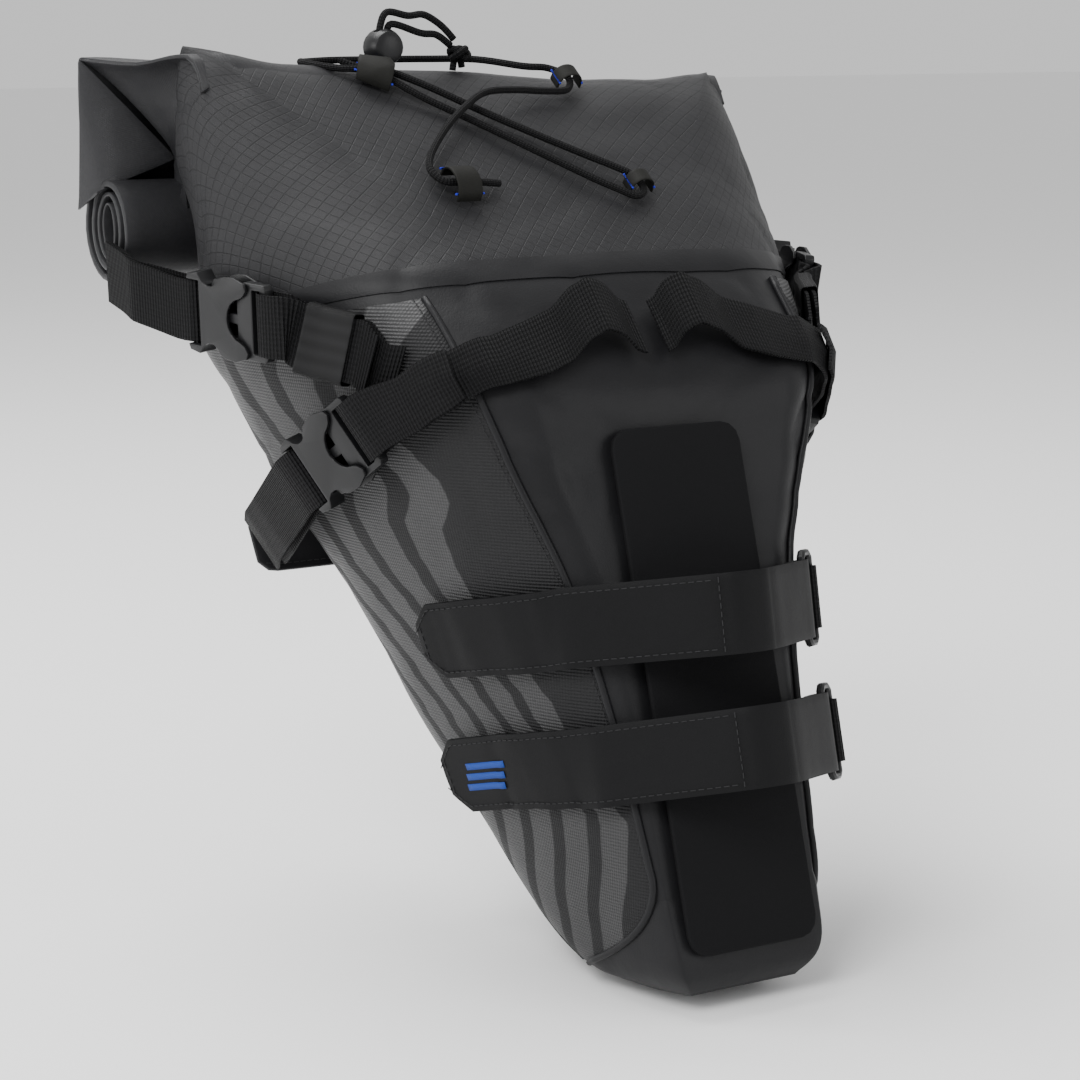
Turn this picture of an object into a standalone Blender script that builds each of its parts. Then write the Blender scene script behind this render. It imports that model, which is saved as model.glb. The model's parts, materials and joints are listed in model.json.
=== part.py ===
"""Roll-top saddle bag: a tapered seat pack with its straps, buckles, shock cord and post straps.

X runs across the bicycle (-X is its right side), +Y rearwards and +Z up. The origin is the centre of
the spine pad's front face, which rests on the back of a seatpost that leans back by POST_LEAN.
Numbers inside the functions are millimetres; every mesh is scaled to metres as it is made.
"""

import math

import bmesh
import bpy
from mathutils import Matrix, Vector
from mathutils.bvhtree import BVHTree
from mathutils.geometry import interpolate_bezier

MM = 0.001
GAP = 0.3

# Driving dimensions, millimetres and degrees
POST_LEAN = 16.5
POST_RADIUS = 15.45
PAD_HALF_WIDTH = 30.0
PAD_HALF_LENGTH = 102.0
PAD_THICKNESS = 2.6
STIFFENER_THICKNESS = 1.4
FRONT_OFFSET = PAD_THICKNESS + STIFFENER_THICKNESS + 3 * GAP
WEBBING_WIDTH = 25.0
WEBBING_THICKNESS = 1.4
FABRIC_THICKNESS = 0.8
PANEL_LIFT = 0.8
ROLL_HALF_WIDTH = 153.0
POST_STRAP_WIDTH = 31.0
# Height of each strap on the post, its tilt from level, where its tip lies and how far out its corner is
POST_STRAPS = {"upper": (30.0, 10.5, 97.0, 57.0), "lower": (-20.0, 14.5, 114.0, 51.0)}
CORD_RADIUS = 1.5
SIDES = {"right": -1, "left": 1}

# Sections of the bag from the nose to the ear: front point (y, z), rear point (y, z), half width of
# the flat front, greatest half width, where it lies between front and rear, and rear squareness.
SECTIONS = (
    ((-20, -115), (30, -121), 24, 27, 0.50, 2.2),
    ((None, -103), (54, -120), 32, 37, 0.55, 2.4),
    ((None, -80), (82, -104), 34, 45, 0.58, 2.4),
    ((None, -42), (113, -74), 35, 54, 0.62, 2.4),
    ((None, 0), (146, -34), 36, 67, 0.66, 2.4),
    ((None, 43), (174, 12), 40, 83, 0.66, 2.4),
    ((None, 85), (199, 54), 52, 102, 0.66, 2.5),
    ((None, 118), (214, 92), 58, 117, 0.68, 2.6),
    ((75, 153), (210, 119), 56, 130, 0.68, 3.0),
    ((120, 188), (197, 130), 70, 134, 0.58, 3.0),
    ((172, 228), (190, 141), 100, 133, 0.42, 3.0),
    ((196, 233), (191, 168), 116, 122, 0.40, 2.4),
    ((211, 232), (201, 208), 146, 140, 0.40, 2.2),
    ((221, 230), (218, 223), 160, 163, 0.50, 2.2),
)
BOOT_SECTIONS = 3
FRONT_STEPS = 3
FLANK_STEPS = 6
REAR_STEPS = 6

COLOURS = {
    "shell": ((0.045, 0.045, 0.048), 0.60, 0.0),
    "side": ((0.080, 0.080, 0.082), 0.50, 0.0),
    "rubber": ((0.018, 0.018, 0.019), 0.65, 0.0),
    "webbing": ((0.012, 0.012, 0.013), 0.85, 0.0),
    "buckle": ((0.030, 0.030, 0.032), 0.35, 0.0),
    "cord": ((0.030, 0.030, 0.030), 0.80, 0.0),
    "plate": ((0.040, 0.040, 0.042), 0.50, 0.0),
}


def clear_scene():
    for item in list(bpy.data.objects):
        bpy.data.objects.remove(item, do_unlink=True)


def make_collection(name, hidden=False):
    made = bpy.data.collections.new(name)
    bpy.context.scene.collection.children.link(made)
    made.hide_render = hidden
    return made


def make_material(name):
    colour, roughness, metallic = COLOURS[name]
    material = bpy.data.materials.new(name)
    material.use_nodes = True
    shader = material.node_tree.nodes["Principled BSDF"]
    shader.inputs["Base Color"].default_value = (*colour, 1.0)
    shader.inputs["Roughness"].default_value = roughness
    shader.inputs["Metallic"].default_value = metallic
    return material


clear_scene()
PARTS = make_collection("saddle_bag")
CUTTERS = make_collection("cutters", hidden=True)
MATERIALS = {name: make_material(name) for name in COLOURS}


def add_object(name, data, finish, matrix=None):
    """Link a node at matrix (millimetres, or the origin) with its material."""
    item = bpy.data.objects.new(name, data)
    PARTS.objects.link(item)
    if matrix is not None:
        item.matrix_world = Matrix.Translation(matrix.translation * MM) @ matrix.to_3x3().to_4x4()
    data.materials.append(MATERIALS[finish])
    return item


def mesh_from(name, points, faces):
    mesh = bpy.data.meshes.new(name)
    mesh.from_pydata([Vector(point) * MM for point in points], [], faces)
    mesh.update()
    return mesh


def on_spine(z, offset=FRONT_OFFSET):
    """The point at height z on the bag's front, offset behind the spine pad's face."""
    lean = math.radians(POST_LEAN)
    return z * math.tan(lean) + offset / math.cos(lean)


def front_point(section):
    y, z = section[0]
    return (on_spine(z) if y is None else y, z)


def half_outline(section):
    """(x, depth fraction) from the middle of the front round one flank to the middle of the rear."""
    front_half, widest, widest_at, squareness = section[2:]
    outline = [(front_half * step / FRONT_STEPS, 0.0) for step in range(FRONT_STEPS)]
    for step in range(FLANK_STEPS):
        turn = math.pi / 2 * step / FLANK_STEPS
        x = front_half + (widest - front_half) * math.sin(turn) ** 1.15
        outline.append((x, widest_at * (1 - math.cos(turn))))
    for step in range(REAR_STEPS + 1):
        turn = math.pi / 2 * step / REAR_STEPS
        x = widest * math.cos(turn) ** (2 / squareness) if step < REAR_STEPS else 0.0
        outline.append((x, widest_at + (1 - widest_at) * math.sin(turn) ** (2 / squareness)))
    return outline


def section_point(section, x, depth, shift=0.0):
    front = Vector(front_point(section))
    rear = Vector(section[1])
    spot = front.lerp(rear, depth)
    return Vector((x, spot.x + shift * 0.6, spot.y + shift * 0.8))


def section_ring(section, shift=0.0):
    half = half_outline(section)
    right = [section_point(section, x, depth, shift) for x, depth in half]
    left = [Vector((-p.x, p.y, p.z)) for p in reversed(right[1:-1])]
    return right + left


def loft(name, rings, finish):
    """A closed solid through rings of equal length, with a flat face at each end."""
    count = len(rings[0])
    points = [point for ring in rings for point in ring]
    faces = [tuple(range(count))]
    for row in range(len(rings) - 1):
        for column in range(count):
            here, across = row * count + column, row * count + (column + 1) % count
            faces.append((here, here + count, across + count, across))
    last = (len(rings) - 1) * count
    faces.append(tuple(last + column for column in reversed(range(count))))
    mesh = mesh_from(name, points, faces)
    work = bmesh.new()
    work.from_mesh(mesh)
    bmesh.ops.triangulate(work, faces=work.faces[:])
    bmesh.ops.recalc_face_normals(work, faces=work.faces[:])
    work.to_mesh(mesh)
    work.free()
    return add_object(name, mesh, finish)


def thicken(item, thickness, offset=0.0):
    solid = item.modifiers.new("thickness", "SOLIDIFY")
    solid.thickness = thickness * MM
    solid.offset = offset
    solid.use_even_offset = True


def strip(name, rows, thickness, finish, offset=0.0):
    """A band through rows of points that lie across it, given its thickness by Solidify."""
    across = len(rows[0])
    faces = []
    for row in range(len(rows) - 1):
        for column in range(across - 1):
            here = row * across + column
            faces.append((here, here + 1, here + 1 + across, here + across))
    item = add_object(name, mesh_from(name, [p for row in rows for p in row], faces), finish)
    thicken(item, thickness, offset)
    return item


def smooth_path(points, steps):
    """Points on a smooth curve through the given ones, steps to each span."""
    points = [Vector(point) for point in points]
    path = []
    for index in range(len(points) - 1):
        start, end = points[index], points[index + 1]
        before = points[index - 1] if index else start
        after = points[index + 2] if index + 2 < len(points) else end
        handle_a = start + (end - before) / 6
        handle_b = end - (after - start) / 6
        path += interpolate_bezier(start, handle_a, handle_b, end, steps + 1)[:-1]
    return path + [points[-1]]


def tube(name, points, radius, finish, steps=1):
    """A round cord through the points, closed at both ends."""
    path = smooth_path(points, steps)
    curve = bpy.data.curves.new(name, "CURVE")
    curve.dimensions = "3D"
    curve.bevel_depth = radius * MM
    curve.bevel_resolution = 2
    curve.use_fill_caps = True
    spline = curve.splines.new("POLY")
    spline.points.add(len(path) - 1)
    for spot, point in zip(spline.points, path):
        spot.co = (*(point * MM), 1.0)
    return add_object(name, curve, finish)


def plate(name, outlines, thickness, finish, matrix):
    """A flat piece: the first outline is its edge and the others are holes."""
    curve = bpy.data.curves.new(name, "CURVE")
    curve.dimensions = "2D"
    curve.fill_mode = "BOTH"
    curve.extrude = thickness / 2 * MM
    for outline in outlines:
        spline = curve.splines.new("POLY")
        spline.points.add(len(outline) - 1)
        for spot, (u, v) in zip(spline.points, outline):
            spot.co = (u * MM, v * MM, 0.0, 1.0)
        spline.use_cyclic_u = True
    return add_object(name, curve, finish, matrix)


def to_mesh(item):
    """Replace a curve object by the mesh it makes, with its caps welded, so that it can be cut."""
    bpy.context.view_layer.update()
    graph = bpy.context.evaluated_depsgraph_get()
    mesh = bpy.data.meshes.new_from_object(item.evaluated_get(graph))
    work = bmesh.new()
    work.from_mesh(mesh)
    bmesh.ops.remove_doubles(work, verts=work.verts[:], dist=0.00001)
    work.to_mesh(mesh)
    work.free()
    name, matrix = item.name, item.matrix_world.copy()
    bpy.data.objects.remove(item, do_unlink=True)
    made = bpy.data.objects.new(name, mesh)
    made.matrix_world = matrix
    PARTS.objects.link(made)
    return made


def box_cutter(name, boxes, matrix):
    """One hidden mesh of separate boxes, each (low corner, high corner) in the frame matrix."""
    work = bmesh.new()
    for low, high in boxes:
        low, high = Vector(low), Vector(high)
        size = Matrix.Diagonal((*((high - low) * MM), 1.0))
        bmesh.ops.create_cube(work, size=1.0, matrix=Matrix.Translation((low + high) / 2 * MM) @ size)
    mesh = bpy.data.meshes.new(name)
    work.to_mesh(mesh)
    work.free()
    item = bpy.data.objects.new(name, mesh)
    item.matrix_world = Matrix.Translation(matrix.translation * MM) @ matrix.to_3x3().to_4x4()
    item.hide_render = True
    item.display_type = "WIRE"
    CUTTERS.objects.link(item)
    return item


def combine(item, other, operation):
    step = item.modifiers.new(operation.lower(), "BOOLEAN")
    step.operation = operation
    step.solver = "EXACT"
    step.object = other


def frame_at(origin, along, normal):
    """A frame whose u runs along, w is the normal and v lies across."""
    u = Vector(along).normalized()
    w = (Vector(normal) - Vector(normal).dot(u) * u).normalized()
    v = w.cross(u)
    return Matrix.Translation(Vector(origin)) @ Matrix((u, v, w)).transposed().to_4x4()


def arc(centre, radius, start, end, steps):
    turns = [math.radians(start + (end - start) * step / steps) for step in range(steps + 1)]
    return [(centre[0] + radius * math.cos(t), centre[1] + radius * math.sin(t)) for t in turns]


def mirror_sign(point, side):
    """A point worked out on the left side (+X), moved to the side asked for."""
    return Vector((point[0] * side, point[1], point[2]))


# The bag's own panels


def make_bag():
    boot = [section_ring(section) for section in SECTIONS[:BOOT_SECTIONS]]
    loft("nose_boot", boot, "rubber")
    body = [section_ring(SECTIONS[BOOT_SECTIONS - 1], shift=GAP + 0.1)]
    body += [section_ring(section) for section in SECTIONS[BOOT_SECTIONS:]]
    return loft("main_bag", body, "shell")


def surface_tree():
    """The body and boot together, to lay straps on; coordinates in millimetres."""
    points, faces = [], []
    for name in ("main_bag", "nose_boot"):
        mesh = bpy.data.objects[name].data
        start = len(points)
        points += [vertex.co / MM for vertex in mesh.vertices]
        faces += [tuple(start + index for index in face.vertices) for face in mesh.polygons]
    return BVHTree.FromPolygons(points, faces)


def make_side_panel(label, side):
    """The printed side fabric: a skin that follows the bag's flank over most of its height."""
    first, last = FRONT_STEPS, FRONT_STEPS + FLANK_STEPS + 3
    rows = []
    for section in SECTIONS[1:9]:
        half = half_outline(section)
        row = []
        for index in range(first, last + 1):
            here = section_point(section, *half[index])
            before = section_point(section, *half[index - 1])
            after = section_point(section, *half[index + 1])
            depth = (Vector(section[1]) - Vector(front_point(section))).normalized()
            tangent = (after - before).normalized()
            axis = Vector((0.0, -depth.y, depth.x))
            outward = tangent.cross(axis).normalized()
            outward *= 1 if outward.x > 0 or here.x < 1 else -1
            row.append(mirror_sign(here + outward * (PANEL_LIFT + FABRIC_THICKNESS / 2), side))
        rows.append(row)
    strip(f"side_panel_{label}", rows, FABRIC_THICKNESS, "side")


def make_spine():
    """The pad that rests on the post, and the stiff plate between it and the bag."""
    lean = Matrix.Rotation(-math.radians(POST_LEAN), 4, "X")
    layers = (
        ("spine_pad", 0.0, PAD_THICKNESS, PAD_HALF_WIDTH, PAD_HALF_LENGTH, "rubber"),
        ("spine_stiffener", PAD_THICKNESS + GAP, STIFFENER_THICKNESS, 28.0, 99.0, "plate"),
    )
    for name, depth, thickness, half_width, half_length, finish in layers:
        work = bmesh.new()
        size = Matrix.Diagonal((2 * half_width * MM, thickness * MM, 2 * half_length * MM, 1.0))
        bmesh.ops.create_cube(work, size=1.0, matrix=size)
        uprights = [
            edge for edge in work.edges if abs(edge.verts[0].co.y - edge.verts[1].co.y) > thickness * MM / 2
        ]
        bmesh.ops.bevel(work, geom=uprights, offset=8 * MM, segments=3, affect="EDGES", profile=0.5)
        mesh = bpy.data.meshes.new(name)
        work.to_mesh(mesh)
        work.free()
        add_object(name, mesh, finish, lean @ Matrix.Translation((0.0, depth + thickness / 2, 0.0)))


def make_closure():
    """The rolled end: a spiral of the two closed layers, with a stiff strip in its core."""
    centre = Vector((219.0, 169.0))
    outer, inner, turns, layer = 22.0, 8.6, 2.4, 4.8
    steps = round(turns * 14)
    spiral = []
    for step in range(steps + 1):
        share = step / steps
        radius = outer + (inner - outer) * share
        turn = math.radians(20) - 2 * math.pi * turns * share
        spiral.append(Vector((math.cos(turn), math.sin(turn))) * radius + centre)
    flat = [Vector((225.0, 224.0)), Vector((231.0, 210.0)), Vector((238.0, 192.0))]
    path = flat + spiral
    rows = [[Vector((x, y, z)) for x in (-ROLL_HALF_WIDTH, ROLL_HALF_WIDTH)] for y, z in path]
    strip("closure_roll", rows, layer, "shell")
    core = Matrix.Translation((0.0, centre.x, centre.y)) @ Matrix.Rotation(math.radians(25), 4, "X")
    work = bmesh.new()
    size = Matrix.Diagonal((2 * (ROLL_HALF_WIDTH - 6) * MM, 1.6 * MM, 9.0 * MM, 1.0))
    bmesh.ops.create_cube(work, size=1.0, matrix=size)
    mesh = bpy.data.meshes.new("closure_strip")
    work.to_mesh(mesh)
    work.free()
    add_object("closure_strip", mesh, "plate", core)


# Straps that lie on the bag


def snap(tree, point, lift):
    """The point on the bag nearest to this one, raised by lift, and the outward normal there."""
    spot, normal = tree.find_nearest(Vector(point))[:2]
    return spot + normal * lift, normal


def laid_rows(tree, points, width, lifts, steps=3, across=3):
    """Rows of a band that lies on the bag along the points, raised by lifts (one for each point)."""
    guide = smooth_path([tuple(point) for point in points], steps)
    heights = [lifts[0]]
    for index in range(len(lifts) - 1):
        heights += [
            lifts[index] + (lifts[index + 1] - lifts[index]) * (step + 1) / steps for step in range(steps)
        ]
    normals = [snap(tree, spot, 0)[1] for spot in guide]
    rows = []
    for index, spot in enumerate(guide):
        ahead = guide[min(index + 1, len(guide) - 1)] - guide[max(index - 1, 0)]
        around = normals[max(index - 2, 0) : index + 3]
        normal = sum(around, Vector()).normalized()
        side = normal.cross(ahead).normalized()
        row = []
        for column in range(across):
            guess = spot + side * width * (column / (across - 1) - 0.5)
            row.append(snap(tree, guess, 0)[0] + normal * heights[index])
        rows.append(row)
    return rows


def frame_on(tree, points, index, lift):
    """A frame on the bag at one of the points of a strap, with u along it and w outwards."""
    spot, normal = snap(tree, points[index], 0)
    ahead = (Vector(points[index + 1]) - Vector(points[index - 1])).normalized()
    across = normal.cross(ahead)
    around = [snap(tree, spot + ahead * u + across * v, 0)[1] for u in (-12, 0, 12) for v in (-10, 0, 10)]
    mean = sum(around, Vector()).normalized()
    return frame_at(spot + mean * lift, ahead, mean)


def local_rows(matrix, profile, width):
    """Rows of a band across v, through profile points (u, w) in the frame matrix."""
    return [[matrix @ Vector((u, v, w)) for v in (-width / 2, 0.0, width / 2)] for u, w in profile]


# Side-release buckle: u runs from the socket to the plug, v across, w out of the bag

SOCKET_THICKNESS = 8.4
PLUG_THICKNESS = 4.6
SOCKET_BAR = -17.4
PLUG_BAR = 23.6
HALF_SLOT = 13.2


def socket_outline():
    """An X with a bar at its tail, open windows at its waist and a round bite in its mouth."""
    half = [(-19, 12), (-17.5, 15.5), (-12, 16.5)]
    half += arc((-5.5, 17.5), 6.0, 200, 340, 5)
    half += [(3, 16.5), (9, 17), (15, 15), (16, 12.5), (14, 10)]
    half += arc((13.5, 0.0), 9.0, 100, 178, 4)
    return half + [(u, -v) for u, v in reversed(half)]


def make_socket(name, matrix):
    slot = [(-15.8, -HALF_SLOT), (-11.2, -HALF_SLOT), (-11.2, HALF_SLOT), (-15.8, HALF_SLOT)]
    body = to_mesh(plate(name, [socket_outline(), slot], SOCKET_THICKNESS, "buckle", matrix))
    inner = PLUG_THICKNESS / 2 + GAP + 0.1
    boxes = [((-7.5, -25, -inner), (25, 25, inner))]
    for low, high in ((1.6, 10), (-10, -1.6)):
        boxes.append(((-25, -HALF_SLOT, low), (-15.0, HALF_SLOT, high)))
    combine(body, box_cutter(f"{name}_cutter", boxes, matrix), "DIFFERENCE")


def make_plug(name, matrix):
    """The ladder frame, and the two sprung prongs that catch in the socket's windows."""
    half = [(8.6, 12.5), (13, 15.5), (24.2, 15.5), (25.4, 14)]
    frame = [(8.6, -2.2), (-6.5, -1.6), (-6.5, 1.6), (8.6, 2.2)] + half
    frame += [(u, -v) for u, v in reversed(half)]
    slot = [(17.2, -12.9), (21.8, -12.9), (21.8, 12.9), (17.2, 12.9)]
    plate(name, [frame, slot], PLUG_THICKNESS, "buckle", matrix)
    prong = [(8.2, 7.6), (8.2, 10.6), (0.5, 11.2), (0.5, 15.2), (-4.5, 14.4), (-7.0, 9.6), (-6.6, 8.0), (-3.0, 8.2)]
    upward = 1 if matrix.col[1].z > 0 else -1
    for suffix, sign in (("upper", upward), ("lower", -upward)):
        root = matrix @ Matrix.Translation((8.2, 9.1 * sign, 0.0))
        shape = [(u - 8.2, (v - 9.1) * sign) for u, v in prong]
        plate(f"{name}_prong_{suffix}", [shape], PLUG_THICKNESS - 0.4, "buckle", root)


def turn_back(bar, radius, sign):
    """Profile (u, w) of webbing that comes in over a bar on the sign side, and goes out under it."""
    turn = [math.radians(angle) for angle in (0, 30, 60, 90, 120, 150, 180)]
    return [(bar - sign * radius * math.sin(t), radius * math.cos(t)) for t in turn]


def join_rows(first, second):
    """Two runs of rows as one, turning the second over if its edges lie the other way."""
    straight = (first[-1][0] - second[0][0]).length
    if (first[-1][0] - second[0][-1]).length < straight:
        second = [list(reversed(row)) for row in second]
    return first + second


COMPRESSION_PATH = (
    (153, 208, 139), (151, 190, 140), (146, 166, 140), (139, 142, 139), (132, 119, 136),
    (129, 108, 134), (123, 88, 130), (117, 75, 127.5), (112, 64, 124.5),
)
RAIL_PATH = (
    (104, 164, 42), (110, 143, 58), (113, 122, 72), (112, 103, 85), (106, 82, 98), (97, 64, 110),
    (84, 50, 119), (68, 44, 124),
)
BUCKLE_INDEX = 3
BUCKLE_LIFT = 9.5
KEEPER_EXTRA = 3.2
KEEPER_ROOM = 2.0
KEEPER_ROWS = slice(1, 5)


def make_adjuster(tree, matrix, after, heights, doubled, extra):
    """Webbing from a plug: the free end on top, round the bar, and the fixed end underneath."""
    wrap = 3.9
    profile = [(34.0, 1.4), (28.5, wrap - 0.6)] + turn_back(PLUG_BAR, wrap, 1) + [(28.5, -wrap), (34.0, -wrap)]
    near = local_rows(matrix, profile, WEBBING_WIDTH)
    under = laid_rows(tree, after, WEBBING_WIDTH, heights)
    over = laid_rows(tree, after, WEBBING_WIDTH, [height + extra for height in heights])[:doubled]
    return join_rows(join_rows(list(reversed(over)), near), under)


def make_keeper(tree, name, after, heights):
    """A flat sleeve round both layers of a doubled webbing."""
    rows = []
    for extra in (-KEEPER_ROOM, KEEPER_EXTRA + KEEPER_ROOM):
        side = laid_rows(tree, after, WEBBING_WIDTH, [height + extra for height in heights])[KEEPER_ROWS]
        for left, middle, right in side:
            left += (left - middle).normalized() * KEEPER_ROOM
            right += (right - middle).normalized() * KEEPER_ROOM
        rows.append(side)
    points, faces = [], []
    for low, high in zip(*rows):
        points += low + list(reversed(high))
    around = 6
    for start in range(0, len(points) - around, around):
        for column in range(around):
            ahead = (column + 1) % around
            above = start + around
            faces.append((start + column, start + ahead, above + ahead, above + column))
    thicken(add_object(name, mesh_from(name, points, faces), "webbing"), FABRIC_THICKNESS)


def make_compression_strap(tree, label, side):
    route = [mirror_sign(point, side) for point in COMPRESSION_PATH]
    matrix = frame_on(tree, route, BUCKLE_INDEX, BUCKLE_LIFT)
    make_socket(f"compression_socket_{label}", matrix)
    make_plug(f"compression_plug_{label}", matrix)
    after, heights = route[BUCKLE_INDEX + 2 :], (6.8, 6.6, 5.4, 4.0)
    rows = make_adjuster(tree, matrix, after, heights, 5, KEEPER_EXTRA)
    strip(f"compression_webbing_{label}", rows, WEBBING_THICKNESS, "webbing")
    make_keeper(tree, f"webbing_keeper_{label}", after, heights)
    bend = turn_back(SOCKET_BAR, 3.2, -1)
    loop = local_rows(matrix, [(-25.0, 3.2)] + bend + [(-25.0, -3.2)], WEBBING_WIDTH)
    across = matrix.to_3x3() @ Vector((0, WEBBING_WIDTH / 2, 0))
    ends = {}
    for layer, lift in (("outer", 1.6), ("inner", 0.0)):
        x = (ROLL_HALF_WIDTH + 1.6 + lift) * side
        spots = [Vector((x, y, z)) for y, z in ((188, 146), (198, 149), (212, 152))]
        ends[layer] = [[spot - across, spot, spot + across] for spot in spots]
    rows = join_rows(list(reversed(ends["outer"])), loop)
    rows = join_rows(rows, ends["inner"])
    strip(f"roll_end_webbing_{label}", rows, 1.2, "webbing")


def rail_loop_points(side):
    """(x, y, z) over the saddle rail, from the bag's shoulder to the seam beside its middle."""
    arch = (
        (52, 44, 130.5), (40, 47, 134), (31, 49, 141), (22, 50, 144.5), (14, 50, 141.5), (9, 49, 136),
        (5, 48, 134.6),
    )
    return [(side * x, y, z) for x, y, z in arch]


def make_rail_strap(tree, label, side):
    route = [mirror_sign(point, side) for point in RAIL_PATH]
    matrix = frame_on(tree, route, BUCKLE_INDEX, BUCKLE_LIFT)
    make_socket(f"rail_socket_{label}", matrix)
    make_plug(f"rail_plug_{label}", matrix)
    rows = make_adjuster(tree, matrix, route[BUCKLE_INDEX + 2 :], (7.9, 8.6, 6.8), 4, 3.0)
    across = Vector((0.0, 0.66, 0.75)) * WEBBING_WIDTH / 2
    arch = [[spot - across, spot, spot + across] for spot in map(Vector, rail_loop_points(side))]
    strip(f"rail_webbing_{label}", join_rows(rows, arch), WEBBING_THICKNESS, "webbing")
    bend = turn_back(SOCKET_BAR, 3.2, -1)
    loop = local_rows(matrix, [(-25.0, 3.0)] + bend + [(-25.0, -3.2)], WEBBING_WIDTH)
    width = matrix.to_3x3() @ Vector((0, WEBBING_WIDTH / 2, 0))
    outer, inner = [], []
    for x, y, z in ((114, 152, 52), (110, 168, 44), (104, 181, 38)):
        spot = Vector((x * side, y, z))
        outer.append([spot - width, spot, spot + width])
        spot = Vector(((x - 2.2) * side, y - 1.5, z - 1.0))
        inner.append([spot - width, spot, spot + width])
    rows = join_rows(list(reversed(outer)), loop)
    strip(f"anchor_webbing_{label}", join_rows(rows, inner[:2]), 1.2, "webbing")


def make_wing():
    """A stiff band across the underside, whose free ends anchor the rail straps."""
    along = Vector((0.0, 0.51, 0.86)) * 13.0
    rows = []
    for step in range(13):
        x = -102 + 204 * step / 12
        spot = Vector((x, 193.5, 36.0))
        half = along * (0.72 if step in (0, 12) else 1.0)
        rows.append([spot - half, spot, spot + half])
    strip("anchor_wing", rows, 1.8, "rubber")


# Post straps, laid out in the plane across the post: x, q rearwards, b up the strap's width


def tangent_turn(point, radius, side):
    """Angle in degrees of the point where a line from this (x, q) touches a circle at the post."""
    distance = math.hypot(*point)
    return math.degrees(math.atan2(point[1], point[0]) + side * math.acos(radius / distance))


def make_post_strap(tree, level, height, tilt, tip, corner_x):
    tilt = math.radians(tilt)
    lean = math.radians(POST_LEAN)
    rear = Vector((0.0, math.cos(tilt), -math.sin(tilt)))
    up = Vector((0.0, math.sin(tilt), math.cos(tilt)))
    centre = Vector((0.0, height * math.tan(lean) - (POST_RADIUS + 0.6) / math.cos(lean), height))
    half = POST_STRAP_WIDTH / 2

    def place(x, q, b=0.0):
        return centre + Vector((x, 0.0, 0.0)) + rear * q + up * b

    def rows_at(path, width=half):
        return [[place(x, q, b) for b in (-width, 0.0, width)] for x, q in path]

    front_bar, rear_bar = (50.0, 18.5), (57.5, 24.0)
    radius = POST_RADIUS + 2.6
    corner = (-corner_x, 27.5)
    bag_path = [place(-58, 38), place(-64, 52), place(-70, 66), place(-72, 80)]
    laid = laid_rows(tree, bag_path, POST_STRAP_WIDTH, [5.8] * 4)
    straight = [laid[-1][column] - laid[-4][column] for column in range(3)]
    span = (laid[-1][1] - laid[-4][1]).length
    reach = tip - 80
    flying = [
        [laid[-1][column] + straight[column] / span * reach * share for column in range(3)] for share in (0.35, 0.75)
    ]
    middle = flying[-1][1]
    last = [point.lerp(middle, 0.42) + straight[1] / span * reach * 0.25 for point in flying[-1]]
    turns = (tangent_turn(corner, radius, 1), 360 + tangent_turn(front_bar, radius, -1))
    round_post = arc((0.0, 0.0), radius, turns[0], turns[1], 7)
    along = (Vector(front_bar) - Vector(round_post[-1])).normalized()
    out = Vector((along.y, -along.x))
    bar = Vector(front_bar)
    half_turn = [math.radians(angle) for angle in (0, 36, 72, 108, 144, 180)]
    wrap = [tuple(bar + out * 2.8 * math.cos(turn) + along * 2.8 * math.sin(turn)) for turn in half_turn]
    flap = [tuple(bar - out * 2.0 - along * 8.0), tuple(bar - out * 0.8 - along * 20.0)]
    free = rows_at([corner] + round_post + wrap + flap)
    rows = list(reversed(laid + flying + [last]))
    strip(f"{level}_strap_tail", join_rows(rows, free), 1.6, "rubber")
    base_path = [place(-58, 37), place(-62, 48), place(-66, 60), place(-70, 74)]
    strip(f"{level}_strap_base", laid_rows(tree, base_path, POST_STRAP_WIDTH - 1, [3.2] * 4), 1.2, "webbing")

    bars = (Vector(front_bar), Vector(rear_bar))
    ring = []
    for spot, heights in ((bars[0], (-1, 1)), (bars[1], (1, -1))):
        for sign in heights:
            ring.append(place(spot.x, spot.y, sign * (half + 2.4)))
    curve = bpy.data.curves.new(f"{level}_ring", "CURVE")
    curve.dimensions = "3D"
    curve.bevel_depth = 1.7 * MM
    curve.bevel_resolution = 2
    spline = curve.splines.new("POLY")
    corners = []
    for index, spot in enumerate(ring):
        before, after = ring[index - 1], ring[(index + 1) % 4]
        corners += [spot + (before - spot).normalized() * 1.8, spot + (after - spot).normalized() * 1.8]
    spline.points.add(len(corners) - 1)
    for spot, point in zip(spline.points, corners):
        spot.co = (*(point * MM), 1.0)
    spline.use_cyclic_u = True
    add_object(f"{level}_ring", curve, "buckle")

    inner_path = [place(66, 42), place(70, 54), place(74, 68)]
    outer = laid_rows(tree, inner_path, WEBBING_WIDTH, [5.6] * 3)
    inner = laid_rows(tree, inner_path[:2], WEBBING_WIDTH, [3.0] * 2)
    back = (Vector((66.0, 40.0)) - bars[1]).normalized()
    side_out = Vector((back.y, -back.x))
    bend = [tuple(bars[1] + side_out * 2.9 * math.cos(turn) - back * 2.9 * math.sin(turn)) for turn in half_turn]
    rows = join_rows(list(reversed(outer)), rows_at(bend, WEBBING_WIDTH / 2))
    strip(f"{level}_ring_tab", join_rows(rows, inner), 1.2, "webbing")
    return centre, up, place(*front_bar), place(*rear_bar)


# Shock cord on the top


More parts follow.
